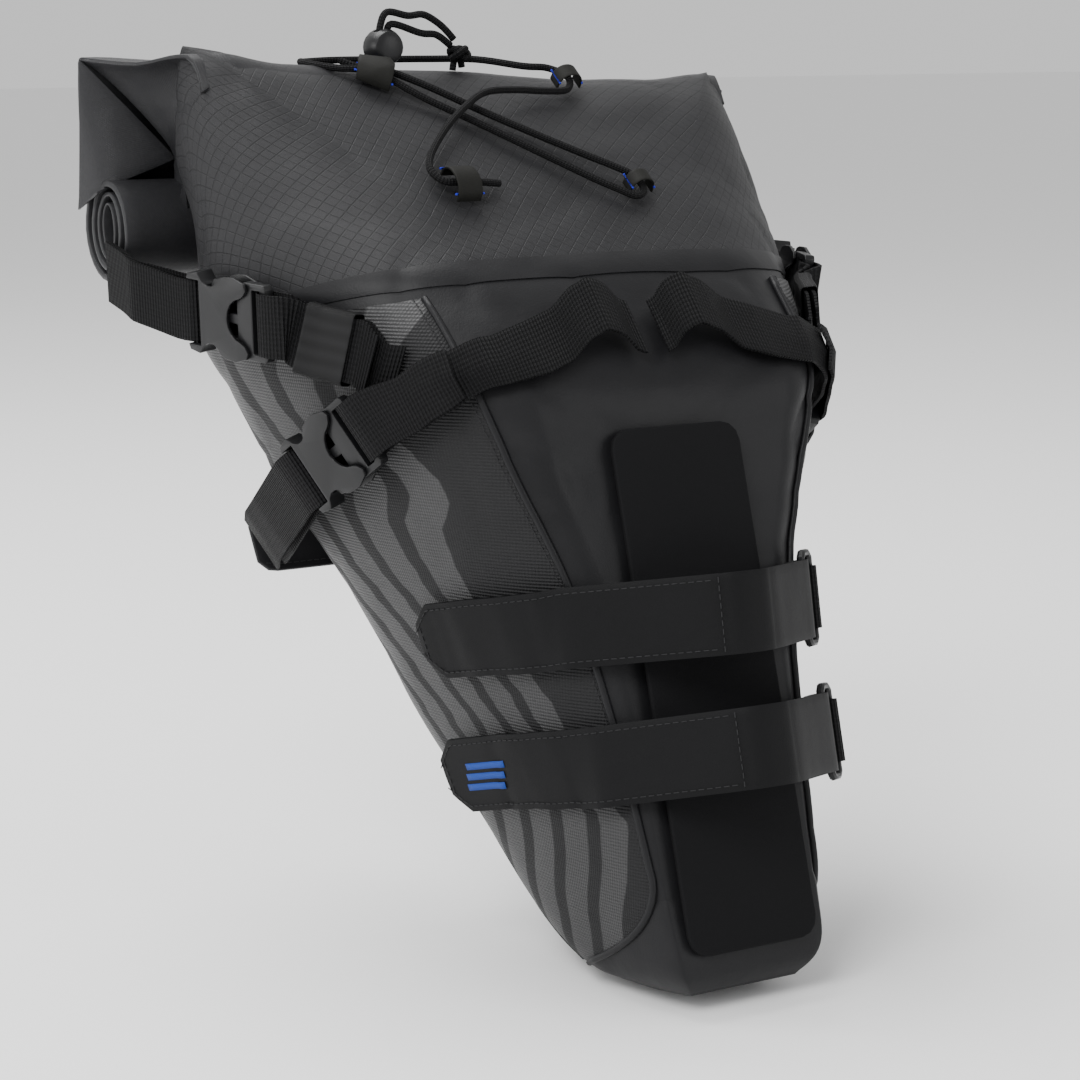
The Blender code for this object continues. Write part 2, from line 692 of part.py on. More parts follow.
def top_point(x, y, lift):
    """A point at a height above the middle of the bag's sloping top."""
    line = [front_point(section) for section in SECTIONS[7:]]
    for (y0, z0), (y1, z1) in zip(line, line[1:]):
        if y <= y1 or (y1, z1) == line[-1]:
            break
    slope = Vector((y1 - y0, z1 - z0)).normalized()
    z = z0 + (y - y0) * (z1 - z0) / (y1 - y0)
    return Vector((x, y - slope.y * lift, z + slope.x * lift))


LACE = (
    (-63, 185, 6.6), (-59, 181.5, 5.2), (-53, 178.0, 4.4), (-46.5, 174.3, 4.4), (-32, 165.5, 3.8), (-12, 151.5, 3.4),
    (8, 138, 3.6), (22, 128.5, 4.0), (31.5, 122.4, 4.2), (37.5, 117.4, 4.4), (38.4, 111.0, 4.4), (33.0, 107.4, 4.4),
    (26.0, 111.4, 4.2), (17, 118.5, 3.6), (0, 132, 3.4), (-18, 146, 3.4), (-37, 159.5, 3.8), (-49.5, 170.0, 4.4),
    (-57, 175.5, 4.6), (-65, 181, 4.0), (-71, 190, 3.4), (-72, 199, 3.4), (-67, 207, 3.8), (-54, 208, 4.4),
    (-34, 206, 4.4), (-12, 202, 4.2), (8, 193, 4.2), (22, 177.6, 4.6), (32.5, 174.2, 4.4), (38.0, 168.6, 4.4),
    (33.5, 162.2, 4.4), (22, 161, 5.0), (5, 160, 7.0), (-11, 157.5, 8.6), (-24, 151, 8.6), (-38, 142, 7.0),
    (-51, 131, 5.6), (-56, 123.5, 5.0), (-53, 118.0, 4.5), (-45, 117.2, 4.4), (-35, 117.0, 4.2), (-27, 117.0, 3.2),
)
LOCK = (-40.0, 187.0, 242.0)
KNOT = (-4.0, 186.0, 239.0)
TABS = {
    "rear_right": ((-51.5, 175.5), (0.85, -0.53), 13.0, 7.4, 9.6),
    "front_right": ((-44.5, 117.3), (1.0, 0.0), 11.0, 6.4, 8.8),
    "rear_left": ((37.6, 168.5), (0.0, 1.0), 5.6, 5.6, 8.6),
    "front_left": ((38.6, 114.2), (0.0, 1.0), 5.4, 5.4, 8.6),
}


def pull_loop_points():
    """The doubled loop from the knot, up in two arches and down through the cord lock."""
    lock, knot = Vector(LOCK), Vector(KNOT)
    low, high = lock + Vector((1.75, 0, 0)), lock - Vector((1.75, 0, 0))
    inner = [knot + Vector((-4.0, 0.4, 3.6)), knot + Vector((-11, 0, 8.0)), knot + Vector((-19, -0.6, 8.8))]
    inner += [low + Vector((2.0, -0.3, 9.6)), low + Vector((0, 0, 3.5)), low + Vector((0, 0, -6))]
    inner.append(lock + Vector((0, 0, -8.2)))
    outer = [high + Vector((0, 0, -6)), high + Vector((0, 0, 3)), high + Vector((0.4, 0, 9))]
    outer.append(high + Vector((4, 0.5, 14.5)))
    outer += [knot + Vector((-24, 1.2, 16)), knot + Vector((-16, 1.8, 16.4)), knot + Vector((-8, 1.4, 12.0))]
    return inner + outer + [knot + Vector((-2.0, 1.0, 6.2))]


def make_tabs():
    """Four folded tabs; the cord goes under each along the tab's width direction."""
    for label, ((x, y), (dx, dy), width, half_span, rise) in TABS.items():
        rows = []
        for turn in range(0, 181, 20):
            angle = math.radians(turn)
            span = -half_span * math.cos(angle)
            lift = 1.3 + (rise - 1.3) * math.sin(angle) ** 0.7
            row = []
            for share in (-0.5, 0.0, 0.5):
                row.append(top_point(x - dy * span + dx * width * share, y + dx * span + dy * width * share, lift))
            rows.append(row)
        strip(f"cord_tab_{label}", rows, 1.0, "rubber")


def make_cords():
    tube("shock_cord", [top_point(*spot) for spot in LACE], CORD_RADIUS, "cord", steps=2)
    tube("pull_loop", pull_loop_points(), CORD_RADIUS, "cord", steps=2)
    knot = bpy.data.meshes.new("pull_knot")
    work = bmesh.new()
    bmesh.ops.create_uvsphere(work, u_segments=12, v_segments=8, radius=1.0)
    work.to_mesh(knot)
    work.free()
    knot.transform(Matrix.Diagonal((4.4 * MM, 4.4 * MM, 5.4 * MM, 1.0)))
    add_object("pull_knot", knot, "cord", Matrix.Translation(KNOT))


def turned(name, profile, finish, matrix, steps=20):
    """A turned piece: profile points (radius, height) from its top down its outer side."""
    edges = [(index, index + 1) for index in range(len(profile) - 1)]
    mesh = bpy.data.meshes.new(name)
    mesh.from_pydata([Vector((radius, 0.0, height)) * MM for radius, height in profile], edges, [])
    item = add_object(name, mesh, finish, matrix)
    screw = item.modifiers.new("turn", "SCREW")
    screw.axis = "Z"
    screw.steps = steps
    screw.render_steps = steps
    screw.use_merge_vertices = True
    screw.merge_threshold = 0.00001
    return item


def make_cord_lock():
    """A barrel with a cross hole, and the button that slides in it; the axis runs along Y."""
    axis = Matrix.Translation(Vector(LOCK)) @ Matrix.Rotation(math.radians(-90), 4, "X")
    barrel = [(0, -6.5), (4, -6.5), (6.5, -5.5), (7.6, -3.0), (7.6, 3.5), (6.8, 5.5), (4.8, 5.5), (4.8, -4.5), (0, -4.5)]
    body = turned("cord_lock_body", list(reversed(barrel)), "buckle", axis)
    button = [(0, 8.5), (3.6, 8.5), (4.5, 7.6), (4.5, -1.5), (0, -1.5)]
    push = turned("cord_lock_button", button, "buckle", axis, 16)
    hole = ((-4.0, -1.9, -12.0), (4.0, 1.9, 12.0))
    upright = Matrix.Translation(Vector(LOCK))
    combine(body, box_cutter("lock_hole", [hole], upright), "DIFFERENCE")
    wide = ((-3.7, -1.9, -12.0), (3.7, 4.4, 12.0))
    combine(push, box_cutter("button_hole", [wide], upright), "DIFFERENCE")


def make_straps(tree):
    for label, side in SIDES.items():
        make_compression_strap(tree, label, side)
        make_rail_strap(tree, label, side)
    make_wing()
    for level, layout in POST_STRAPS.items():
        make_post_strap(tree, level, *layout)


def main():
    make_bag()
    tree = surface_tree()
    for label, side in SIDES.items():
        make_side_panel(label, side)
    make_spine()
    make_closure()
    make_straps(tree)
    make_tabs()
    make_cords()
    make_cord_lock()


main()
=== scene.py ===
import json
import math

import bmesh
import bpy
from mathutils import Matrix, Vector, noise
from mathutils.bvhtree import BVHTree
from mathutils.geometry import interpolate_bezier

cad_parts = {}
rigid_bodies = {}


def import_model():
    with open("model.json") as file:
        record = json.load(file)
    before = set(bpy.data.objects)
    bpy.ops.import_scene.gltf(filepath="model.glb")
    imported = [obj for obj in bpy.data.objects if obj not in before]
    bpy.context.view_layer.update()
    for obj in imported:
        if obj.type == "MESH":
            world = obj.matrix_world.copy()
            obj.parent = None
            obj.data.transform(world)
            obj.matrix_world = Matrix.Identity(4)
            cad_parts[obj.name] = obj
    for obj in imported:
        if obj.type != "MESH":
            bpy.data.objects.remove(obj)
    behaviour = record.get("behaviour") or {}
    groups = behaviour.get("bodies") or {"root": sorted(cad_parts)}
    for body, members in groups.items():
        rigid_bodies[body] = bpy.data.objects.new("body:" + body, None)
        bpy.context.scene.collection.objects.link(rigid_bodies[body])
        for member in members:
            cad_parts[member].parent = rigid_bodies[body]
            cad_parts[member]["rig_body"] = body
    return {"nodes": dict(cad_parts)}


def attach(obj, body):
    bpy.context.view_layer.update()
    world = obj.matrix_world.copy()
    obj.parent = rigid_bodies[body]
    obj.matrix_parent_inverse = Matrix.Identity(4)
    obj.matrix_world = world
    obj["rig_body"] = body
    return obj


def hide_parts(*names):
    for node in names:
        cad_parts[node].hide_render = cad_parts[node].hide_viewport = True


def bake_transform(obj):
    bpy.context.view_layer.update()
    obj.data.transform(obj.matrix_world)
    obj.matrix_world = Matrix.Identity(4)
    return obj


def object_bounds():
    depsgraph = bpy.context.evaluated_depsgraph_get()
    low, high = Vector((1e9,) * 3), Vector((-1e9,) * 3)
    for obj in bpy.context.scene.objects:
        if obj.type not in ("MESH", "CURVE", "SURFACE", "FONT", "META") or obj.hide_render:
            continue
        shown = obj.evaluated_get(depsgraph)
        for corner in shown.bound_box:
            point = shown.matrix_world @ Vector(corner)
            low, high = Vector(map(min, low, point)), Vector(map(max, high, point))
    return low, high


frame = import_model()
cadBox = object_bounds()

nodes = frame["nodes"]
mm = 0.001
sides = {"right": -1, "left": 1}
print("stage: frame loaded")

# Camera level with the bag's top, to its right and in front
viewpoint = {
    "place": (-0.64477, -0.91137, 0.25330), "azimuth": -31.8, "elevation": 10.0, "roll": -0.2, "lens": 98.433,
}


def makeCamera():
    azimuth, elevation, roll = (math.radians(viewpoint[key]) for key in ("azimuth", "elevation", "roll"))
    right = Vector((math.cos(azimuth), math.sin(azimuth), 0))
    level, tilted = math.cos(elevation), math.sin(elevation)
    back = Vector((math.sin(azimuth) * level, -math.cos(azimuth) * level, tilted))
    up = back.cross(right)
    turnedRight = math.cos(roll) * right + math.sin(roll) * up
    turnedUp = math.cos(roll) * up - math.sin(roll) * right
    lens = bpy.data.cameras.new("viewCamera")
    lens.lens = viewpoint["lens"]
    lens.sensor_width = 36
    camera = bpy.data.objects.new("viewCamera", lens)
    turn = Matrix((turnedRight, turnedUp, back)).transposed().to_4x4()
    camera.matrix_world = Matrix.Translation(viewpoint["place"]) @ turn
    bpy.context.scene.collection.objects.link(camera)
    bpy.context.scene.camera = camera


makeCamera()


# A socket whose sums and products add Math nodes
class Flow:
    def __init__(self, tree, socket):
        self.tree = tree
        self.socket = socket

    def math(self, operation, *values):
        step = self.tree.nodes.new("ShaderNodeMath")
        step.operation = operation
        for entry, value in zip(step.inputs, values):
            if isinstance(value, Flow):
                self.tree.links.new(value.socket, entry)
            else:
                entry.default_value = value
        return Flow(self.tree, step.outputs[0])

    def __add__(self, other):
        return self.math("ADD", self, other)

    def __sub__(self, other):
        return self.math("SUBTRACT", self, other)

    def __rsub__(self, other):
        return self.math("SUBTRACT", other, self)

    def __mul__(self, other):
        return self.math("MULTIPLY", self, other)

    def __truediv__(self, other):
        return self.math("DIVIDE", self, other)

    __radd__ = __add__
    __rmul__ = __mul__

    def clamp(self, low, high):
        return self.math("MINIMUM", self.math("MAXIMUM", self, low), high)

    def sine(self):
        return self.math("SINE", self)

    def size(self):
        return self.math("ABSOLUTE", self)

    def above(self, edge, soft):
        return ((self - edge) / soft + 0.5).clamp(0.0, 1.0)

    def cycle(self, period):
        # distance from the nearest multiple of period, as a share of it: 0 on the line, 0.5 between
        return (self.math("FRACT", self / period) - 0.5).size() * -1.0 + 0.5


class Finish:
    def __init__(self, name, colour, roughness, **constants):
        self.material = bpy.data.materials.new(name)
        self.material.use_nodes = True
        self.tree = self.material.node_tree
        self.shader = self.tree.nodes["Principled BSDF"]
        self.shader.inputs["Base Color"].default_value = (*colour, 1)
        self.shader.inputs["Roughness"].default_value = roughness
        for socket, value in constants.items():
            self.shader.inputs[socket.replace("_", " ")].default_value = value
        self.material.diffuse_color = (*colour, 1)

    def node(self, kind, settings, inputs, output=0):
        step = self.tree.nodes.new("ShaderNode" + kind)
        for key, value in settings.items():
            setattr(step, key, value)
        for key, value in inputs.items():
            if isinstance(value, Flow):
                self.tree.links.new(value.socket, step.inputs[key])
            else:
                step.inputs[key].default_value = value
        return Flow(self.tree, step.outputs[output])

    def place(self):
        return self.node("TexCoord", {}, {}, "Object")

    def parts(self, vector):
        step = self.tree.nodes.new("ShaderNodeSeparateXYZ")
        self.tree.links.new(vector.socket, step.inputs[0])
        return [Flow(self.tree, socket) for socket in step.outputs]

    def grain(self, vector, scale, detail=2.0, rough=0.5):
        inputs = {"Vector": vector, "Scale": scale, "Detail": detail, "Roughness": rough}
        return self.node("TexNoise", {}, inputs)

    def mixed(self, mask, low, high):
        low, high = (value if isinstance(value, Flow) else (*value, 1) for value in (low, high))
        return self.node("Mix", {"data_type": "RGBA"}, {0: mask, 6: low, 7: high}, 2)

    def paint(self, colour):
        self.tree.links.new(colour.socket, self.shader.inputs["Base Color"])

    def rough(self, value):
        self.tree.links.new(value.socket, self.shader.inputs["Roughness"])

    def relief(self, height, distance, strength=1.0):
        bump = self.node("Bump", {}, {"Height": height, "Distance": distance, "Strength": strength})
        self.tree.links.new(bump.socket, self.shader.inputs["Normal"])


def shade(colour, factor):
    return tuple(channel * factor for channel in colour)


# Cut maps are in tenths of a metre; every other length in a look is in metres
shellLook = {"colour": (0.0140, 0.0140, 0.0152), "grid": 0.0064, "line": 0.045, "weave": 0.00075}


def makeRipstop(name, brightness, roughness, lineWeight):
    colour = shade(shellLook["colour"], brightness)
    cloth = Finish(name, colour, roughness, Sheen_Weight=0.01, Sheen_Roughness=0.45, Specular_IOR_Level=0.20)
    u, v, _ = cloth.parts(cloth.node("UVMap", {"uv_map": "cut"}, {}))
    grid = shellLook["grid"] * 10
    lines = u.math("MINIMUM", (u + v).cycle(grid), (u - v).cycle(grid))
    line = 1 - lines.above(shellLook["line"], 0.05)
    weave = shellLook["weave"] * 10 / math.tau
    threads = (u / weave).sine() * (v / weave).sine()
    cloud = cloth.grain(cloth.place(), 9.0, 4.0)
    speck = cloth.grain(cloth.place(), 900.0, 2.0)
    tone = ((cloud - 0.5) * 0.8 + (speck - 0.5) * 0.6 + 0.45 - line * lineWeight).clamp(0, 1)
    cloth.paint(cloth.mixed(tone, shade(colour, 0.62), shade(colour, 1.55)))
    cloth.rough((cloud - 0.5) * 0.25 + line * 0.06 + roughness)
    crease = cloth.grain(cloth.place(), 34.0, 3.0, 0.45)
    drawn = cloth.node("Mapping", {}, {"Vector": cloth.place(), "Scale": (0.55, 1.0, 1.3)})
    fold = cloth.grain(drawn, 13.0, 1.5)
    weaveHeight = threads * 0.10 - line * lineWeight * 0.5 + speck * 0.25
    cloth.relief(weaveHeight + crease * 2.8 + fold * 9.0, 0.00035)
    return cloth.material


coatedLook = {"colour": (0.0080, 0.0080, 0.0088), "roughness": 0.46}


def makeCoated():
    colour = coatedLook["colour"]
    cloth = Finish("coatedCloth", colour, coatedLook["roughness"], Specular_IOR_Level=0.16)
    place = cloth.place()
    cloud = cloth.grain(place, 14.0, 5.0)
    speck = cloth.grain(place, 1300.0, 2.0)
    tone = (cloud * 0.8 + speck * 0.4 - 0.1).clamp(0, 1)
    cloth.paint(cloth.mixed(tone, shade(colour, 0.75), shade(colour, 1.4)))
    cloth.rough((cloud - 0.5) * 0.3 + coatedLook["roughness"])
    crease = cloth.grain(place, 42.0, 3.0)
    fold = cloth.grain(place, 15.0, 1.5)
    cloth.relief(speck * 0.3 + crease * 2.4 + fold * 7.0, 0.0003)
    return cloth.material


# Side panels: near-black cloth with pale wavy stripes and fine ribs; the cut map's u counts stripes rearwards
sideLook = {"pale": (0.046, 0.046, 0.047), "dark": (0.0095, 0.0095, 0.0102), "share": 0.66, "rib": 0.0013}


def makeSideCloth():
    pale, dark = sideLook["pale"], sideLook["dark"]
    cloth = Finish("sideCloth", pale, 0.52, Specular_IOR_Level=0.18)
    place = cloth.place()
    u, v, _ = cloth.parts(cloth.node("UVMap", {"uv_map": "cut"}, {}))
    z = cloth.parts(place)[2]
    bend = cloth.grain(place, 16.0, 1.0)
    count = u + (bend - 0.5) * 0.12
    share = count.math("FRACT", count)
    soft = 0.035
    paleShare = share.above(0.01, soft) * (1 - share.above(sideLook["share"], soft))
    mask = paleShare * count.above(0.0, soft)
    ribs = (z * (math.tau / sideLook["rib"])).sine()
    warp = (v * (math.tau / 0.011)).sine()
    speck = cloth.grain(place, 1100.0, 2.0)
    cloud = cloth.grain(place, 12.0, 3.0)
    tone = cloth.mixed(mask, dark, pale)
    shadow = (ribs * 0.22 + warp * 0.14 + 0.30 + (speck - 0.5) * 0.5 + (cloud - 0.5) * 0.5).clamp(0, 1)
    cloth.paint(cloth.mixed(shadow * (mask * 0.5 + 0.3), tone, shade(dark, 0.5)))
    cloth.rough(0.60 - mask * 0.16 + (cloud - 0.5) * 0.2)
    crease = cloth.grain(place, 36.0, 3.0)
    cloth.relief(ribs * 0.35 + warp * 0.2 + speck * 0.4 + crease * 2.4 + mask * 0.3, 0.0003)
    return cloth.material


def makeRubber(name, colour, roughness):
    rubber = Finish(name, colour, roughness, Specular_IOR_Level=0.10)
    place = rubber.place()
    pebble = rubber.grain(place, 2100.0, 2.0)
    cloud = rubber.grain(place, 18.0, 4.0)
    tone = (cloud * 0.7 + pebble * 0.5 - 0.1).clamp(0, 1)
    rubber.paint(rubber.mixed(tone, shade(colour, 0.7), shade(colour, 1.5)))
    rubber.rough((cloud - 0.5) * 0.22 + (pebble - 0.5) * 0.12 + roughness)
    rubber.relief(pebble * 0.6 + rubber.grain(place, 60.0, 2.0) * 1.4, 0.0002)
    return rubber.material


webbingLook = {"colour": (0.0038, 0.0038, 0.0041), "rib": 0.0015, "column": 0.0021}


def makeWebbing():
    colour = webbingLook["colour"]
    tape = Finish("webbingWeave", colour, 0.62, Specular_IOR_Level=0.10)
    u, v, _ = tape.parts(tape.node("UVMap", {"uv_map": "cut"}, {}))
    rib = (v * (math.tau / (webbingLook["rib"] * 10))).sine()
    column = (u * (math.tau / (webbingLook["column"] * 10))).sine()
    twill = ((u * 1.0 + v * 1.4) * (math.tau / 0.011)).sine()
    speck = tape.grain(tape.place(), 1500.0, 2.0)
    tone = (rib * 0.22 + column * 0.10 + twill * 0.08 + speck * 0.7 + 0.05).clamp(0, 1)
    tape.paint(tape.mixed(tone, shade(colour, 0.3), shade(colour, 3.0)))
    tape.rough((speck - 0.5) * 0.2 + 0.62)
    tape.relief(rib * 1.3 + column * 0.45 + twill * 0.2 + speck * 0.3, 0.00022)
    return tape.material


def makeElastic():
    colour = (0.0060, 0.0060, 0.0064)
    tape = Finish("elasticBand", colour, 0.5, Specular_IOR_Level=0.14)
    u = tape.parts(tape.node("UVMap", {"uv_map": "cut"}, {}))[0]
    rib = (u * (math.tau / 0.009)).sine()
    speck = tape.grain(tape.place(), 1500.0, 2.0)
    tone = (rib * 0.3 + speck * 0.6 + 0.1).clamp(0, 1)
    tape.paint(tape.mixed(tone, shade(colour, 0.6), shade(colour, 1.5)))
    tape.rough((speck - 0.5) * 0.2 + 0.5)
    tape.relief(rib * 0.5 + speck * 0.3, 0.00015)
    return tape.material


def makePlastic(name, colour, roughness):
    moulded = Finish(name, colour, roughness, Specular_IOR_Level=0.28)
    place = moulded.place()
    spark = moulded.grain(place, 2600.0, 1.0)
    smear = moulded.grain(place, 45.0, 4.0)
    tone = (smear * 0.8 + (spark - 0.5) * 0.4).clamp(0, 1)
    moulded.paint(moulded.mixed(tone, shade(colour, 0.75), shade(colour, 1.35)))
    moulded.rough((smear - 0.5) * 0.22 + (spark - 0.5) * 0.1 + roughness)
    moulded.relief(spark * 0.35 + smear * 0.25, 0.00012)
    return moulded.material


def makeCordSleeve(name, colour):
    sleeve = Finish(name, colour, 0.7, Specular_IOR_Level=0.14)
    u, v, _ = sleeve.parts(sleeve.node("UVMap", {"uv_map": "cut"}, {}))
    around = u * math.tau
    along = v * (math.tau / 0.026)
    braid = (around * 6.0 + along).sine() * (around * 6.0 - along).sine()
    speck = sleeve.grain(sleeve.place(), 2200.0, 2.0)
    tone = (braid * 0.35 + speck * 0.6 + 0.1).clamp(0, 1)
    sleeve.paint(sleeve.mixed(tone, shade(colour, 0.55), shade(colour, 2.0)))
    sleeve.relief(braid * 0.9 + speck * 0.3, 0.0003)
    sleeve.rough(0.72 + (speck - 0.5) * 0.15)
    return sleeve.material


def makeFuzz():
    colour = (0.0055, 0.0055, 0.0060)
    pile = Finish("loopPile", colour, 0.95, Sheen_Weight=0.03, Sheen_Roughness=0.6)
    loops = pile.grain(pile.place(), 1700.0, 4.0, 0.75)
    patch = pile.grain(pile.place(), 160.0, 3.0)
    tone = (loops * 1.1 + patch * 0.4 - 0.3).clamp(0, 1)
    pile.paint(pile.mixed(tone, shade(colour, 0.4), shade(colour, 2.4)))
    pile.rough(0.9 + (loops - 0.5) * 0.1)
    pile.relief(loops * 1.8 + patch * 0.6, 0.0006)
    return pile.material


def makeThread(name, colour):
    yarn = Finish(name, colour, 0.6, Specular_IOR_Level=0.2)
    twist = yarn.grain(yarn.place(), 3200.0, 1.0)
    yarn.paint(yarn.mixed(twist, shade(colour, 0.6), shade(colour, 1.5)))
    yarn.relief(twist, 0.0001)
    yarn.rough(0.55 + twist * 0.15)
    return yarn.material


finishes = {
    "shell": makeRipstop("ripstopShell", 1.0, 0.47, 0.58),
    "roll": makeRipstop("ripstopRoll", 1.1, 0.36, 0.0),
    "coated": makeCoated(),
    "side": makeSideCloth(),
    "rubber": makeRubber("strapRubber", (0.0046, 0.0046, 0.0050), 0.56),
    "tab": makeRubber("tabRubber", (0.0095, 0.0095, 0.0085), 0.62),
    "pad": makeRubber("padFoam", (0.0045, 0.0045, 0.0050), 0.8),
    "webbing": makeWebbing(),
    "elastic": makeElastic(),
    "buckle": makePlastic("buckleAcetal", (0.0065, 0.0066, 0.0072), 0.36),
    "plate": makePlastic("stiffPlate", (0.008, 0.008, 0.009), 0.5),
    "cord": makeCordSleeve("cordSleeve", (0.0042, 0.0042, 0.0046)),
    "pile": makeFuzz(),
    "thread": makeThread("darkThread", (0.014, 0.014, 0.015)),
    "bartack": makeThread("blueThread", (0.016, 0.024, 0.36)),
    "mark": makeRubber("blueInk", (0.014, 0.042, 0.21), 0.5),
}
print("stage: finishes made")


# Mesh helpers; points are in millimetres and are scaled as a mesh is made


def addPiece(name, points, faces, finish, cuts=None, smooth=True):
    mesh = bpy.data.meshes.new(name)
    mesh.from_pydata([Vector(point) * mm for point in points], [], faces)
    if cuts is not None:
        layer = mesh.uv_layers.new(name="cut")
        for loop in mesh.loops:
            layer.data[loop.index].uv = cuts[loop.vertex_index]
    mesh.polygons.foreach_set("use_smooth", [smooth] * len(mesh.polygons))
    mesh.materials.append(finishes[finish])
    piece = bpy.data.objects.new(name, mesh)
    bpy.context.scene.collection.objects.link(piece)
    return piece


def applied(piece):
    view = bpy.context.evaluated_depsgraph_get()
    view.update()
    mesh = bpy.data.meshes.new_from_object(piece.evaluated_get(view))
    piece.modifiers.clear()
    piece.data = mesh
    return piece


def thicken(piece, thickness, offset=0.0, rim=0.3, segments=2):
    solid = piece.modifiers.new("wall", "SOLIDIFY")
    solid.thickness = thickness * mm
    solid.offset = offset
    solid.use_even_offset = True
    solid.thickness_clamp = 1.5
    if rim:
        edge = piece.modifiers.new("rim", "BEVEL")
        edge.width = rim * mm
        edge.segments = segments
        edge.limit_method = "ANGLE"
        edge.angle_limit = math.radians(50)
    return applied(piece)


def smoothPath(points, steps):
    points = [Vector(point) for point in points]
    path = []
    for index in range(len(points) - 1):
        start, end = points[index], points[index + 1]
        before = points[index - 1] if index else start
        after = points[index + 2] if index + 2 < len(points) else end
        handles = start + (end - before) / 6, end - (after - start) / 6
        path += interpolate_bezier(start, *handles, end, steps + 1)[:-1]
    return path + [points[-1]]


def runLengths(points):
    lengths = [0.0]
    for before, after in zip(points, points[1:]):
        lengths.append(lengths[-1] + (after - before).length)
    return lengths


def gridFaces(rows, columns, closed=False):
    faces = []
    for row in range(rows - 1):
        for column in range(columns if closed else columns - 1):
            here = row * columns + column
            ahead = row * columns + (column + 1) % columns
            faces.append((here, ahead, ahead + columns, here + columns))
    return faces


def bandPiece(name, rows, thickness, finish, offset=0.0, rim=0.35, smooth=True):
    across = len(rows[0])
    middle = across // 2
    along = runLengths([row[middle] for row in rows])
    wide = runLengths(rows[len(rows) // 2])
    cuts = [(wide[column] / 100, along[row] / 100) for row in range(len(rows)) for column in range(across)]
    points = [point for row in rows for point in row]
    piece = addPiece(name, points, gridFaces(len(rows), across), finish, cuts, smooth)
    return thicken(piece, thickness, offset, rim)


def smoothRows(rows, steps):
    columns = [smoothPath(column, steps) for column in zip(*rows)]
    return [list(row) for row in zip(*columns)]


def finer(row, parts):
    # a row of three points made a row of parts + 1 points
    left, middle, right = row
    fine = []
    for step in range(parts + 1):
        share = step / parts
        if share <= 0.5:
            fine.append(left.lerp(middle, share * 2))
        else:
            fine.append(middle.lerp(right, share * 2 - 1))
    return fine


def tubePiece(name, path, radius, finish, around=12):
    rows, cuts = [], []
    lengths = runLengths(path)
    ahead = (path[1] - path[0]).normalized()
    side = ahead.cross(Vector((0.13, 0.71, 0.69))).normalized()
    for index, spot in enumerate(path):
        ahead = (path[min(index + 1, len(path) - 1)] - path[max(index - 1, 0)]).normalized()
        side = (side - ahead * side.dot(ahead)).normalized()
        up = ahead.cross(side)
        for step in range(around):
            turn = math.tau * step / around
            rows.append(spot + (side * math.cos(turn) + up * math.sin(turn)) * radius)
            cuts.append((step / around, lengths[index] / 100))
    faces = gridFaces(len(path), around, True)
    last = (len(path) - 1) * around
    faces += [tuple(reversed(range(around))), tuple(range(last, last + around))]
    return addPiece(name, rows, faces, finish, cuts)


def recalc(piece):
    work = bmesh.new()
    work.from_mesh(piece.data)
    bmesh.ops.recalc_face_normals(work, faces=work.faces[:])
    work.to_mesh(piece.data)
    work.free()
    return piece


# The bag's sections: front point (y, z), rear point (y, z), half width of the flat front, greatest half
# width, where it lies between front and rear, and squareness of the rear
bagForm = {
    "lean": 16.5,
    "frontOffset": 4.9,
    "sections": (
        ((-20, -115), (30, -121), 24, 27, 0.50, 2.2),
        ((None, -103), (54, -120), 32, 37, 0.55, 2.4),
        ((None, -80), (82, -104), 34, 45, 0.58, 2.4),
        ((None, -42), (113, -74), 35, 54, 0.62, 2.4),
        ((None, 0), (146, -34), 36, 67, 0.66, 2.4),
        ((None, 43), (174, 12), 40, 83, 0.66, 2.4),
        ((None, 85), (199, 54), 52, 102, 0.66, 2.5),
        ((None, 118), (214, 92), 58, 117, 0.68, 2.6),
        ((75, 153), (210, 119), 56, 130, 0.68, 3.0),
        ((120, 188), (197, 130), 70, 134, 0.58, 3.0),
        ((172, 228), (190, 141), 112, 133, 0.42, 3.0),
        ((193, 234), (198, 170), 129, 132, 0.42, 3.4),
    ),
    "frontSteps": 16,
    "flankSteps": 36,
    "rearSteps": 36,
    "rowSteps": 9,
}
lean = math.radians(bagForm["lean"])
sections = bagForm["sections"]


def onSpine(z):
    return z * math.tan(lean) + bagForm["frontOffset"] / math.cos(lean)


def frontPoint(section):
    y, z = section[0]
    return Vector((onSpine(z) if y is None else y, z))


def halfOutline(section):
    frontHalf, widest, widestAt, squareness = section[2:]
    fronts, flanks, rears = bagForm["frontSteps"], bagForm["flankSteps"], bagForm["rearSteps"]
    outline = [(frontHalf * step / fronts, 0.0) for step in range(fronts)]
    for step in range(flanks):
        turn = math.pi / 2 * step / flanks
        x = frontHalf + (widest - frontHalf) * math.sin(turn) ** 1.15
        outline.append((x, widestAt * (1 - math.cos(turn))))
    for step in range(rears + 1):
        turn = math.pi / 2 * step / rears
        x = widest * math.cos(turn) ** (2 / squareness) if step < rears else 0.0
        outline.append((x, widestAt + (1 - widestAt) * math.sin(turn) ** (2 / squareness)))
    return outline


def sectionRing(section):
    front, rear = frontPoint(section), Vector(section[1])
    right = []
    for x, depth in halfOutline(section):
        spot = front.lerp(rear, depth)
        right.append(Vector((x, spot.x, spot.y)))
    left = [Vector((-spot.x, spot.y, spot.z)) for spot in reversed(right[1:-1])]
    return right + left


def bagRings():
    rings = [sectionRing(section) for section in sections]
    columns = [smoothPath(column, bagForm["rowSteps"]) for column in zip(*rings)]
    return [list(ring) for ring in zip(*columns)]


rings = bagRings()
ringSize = len(rings[0])
ringCount = len(rings)
rowStep = bagForm["rowSteps"]


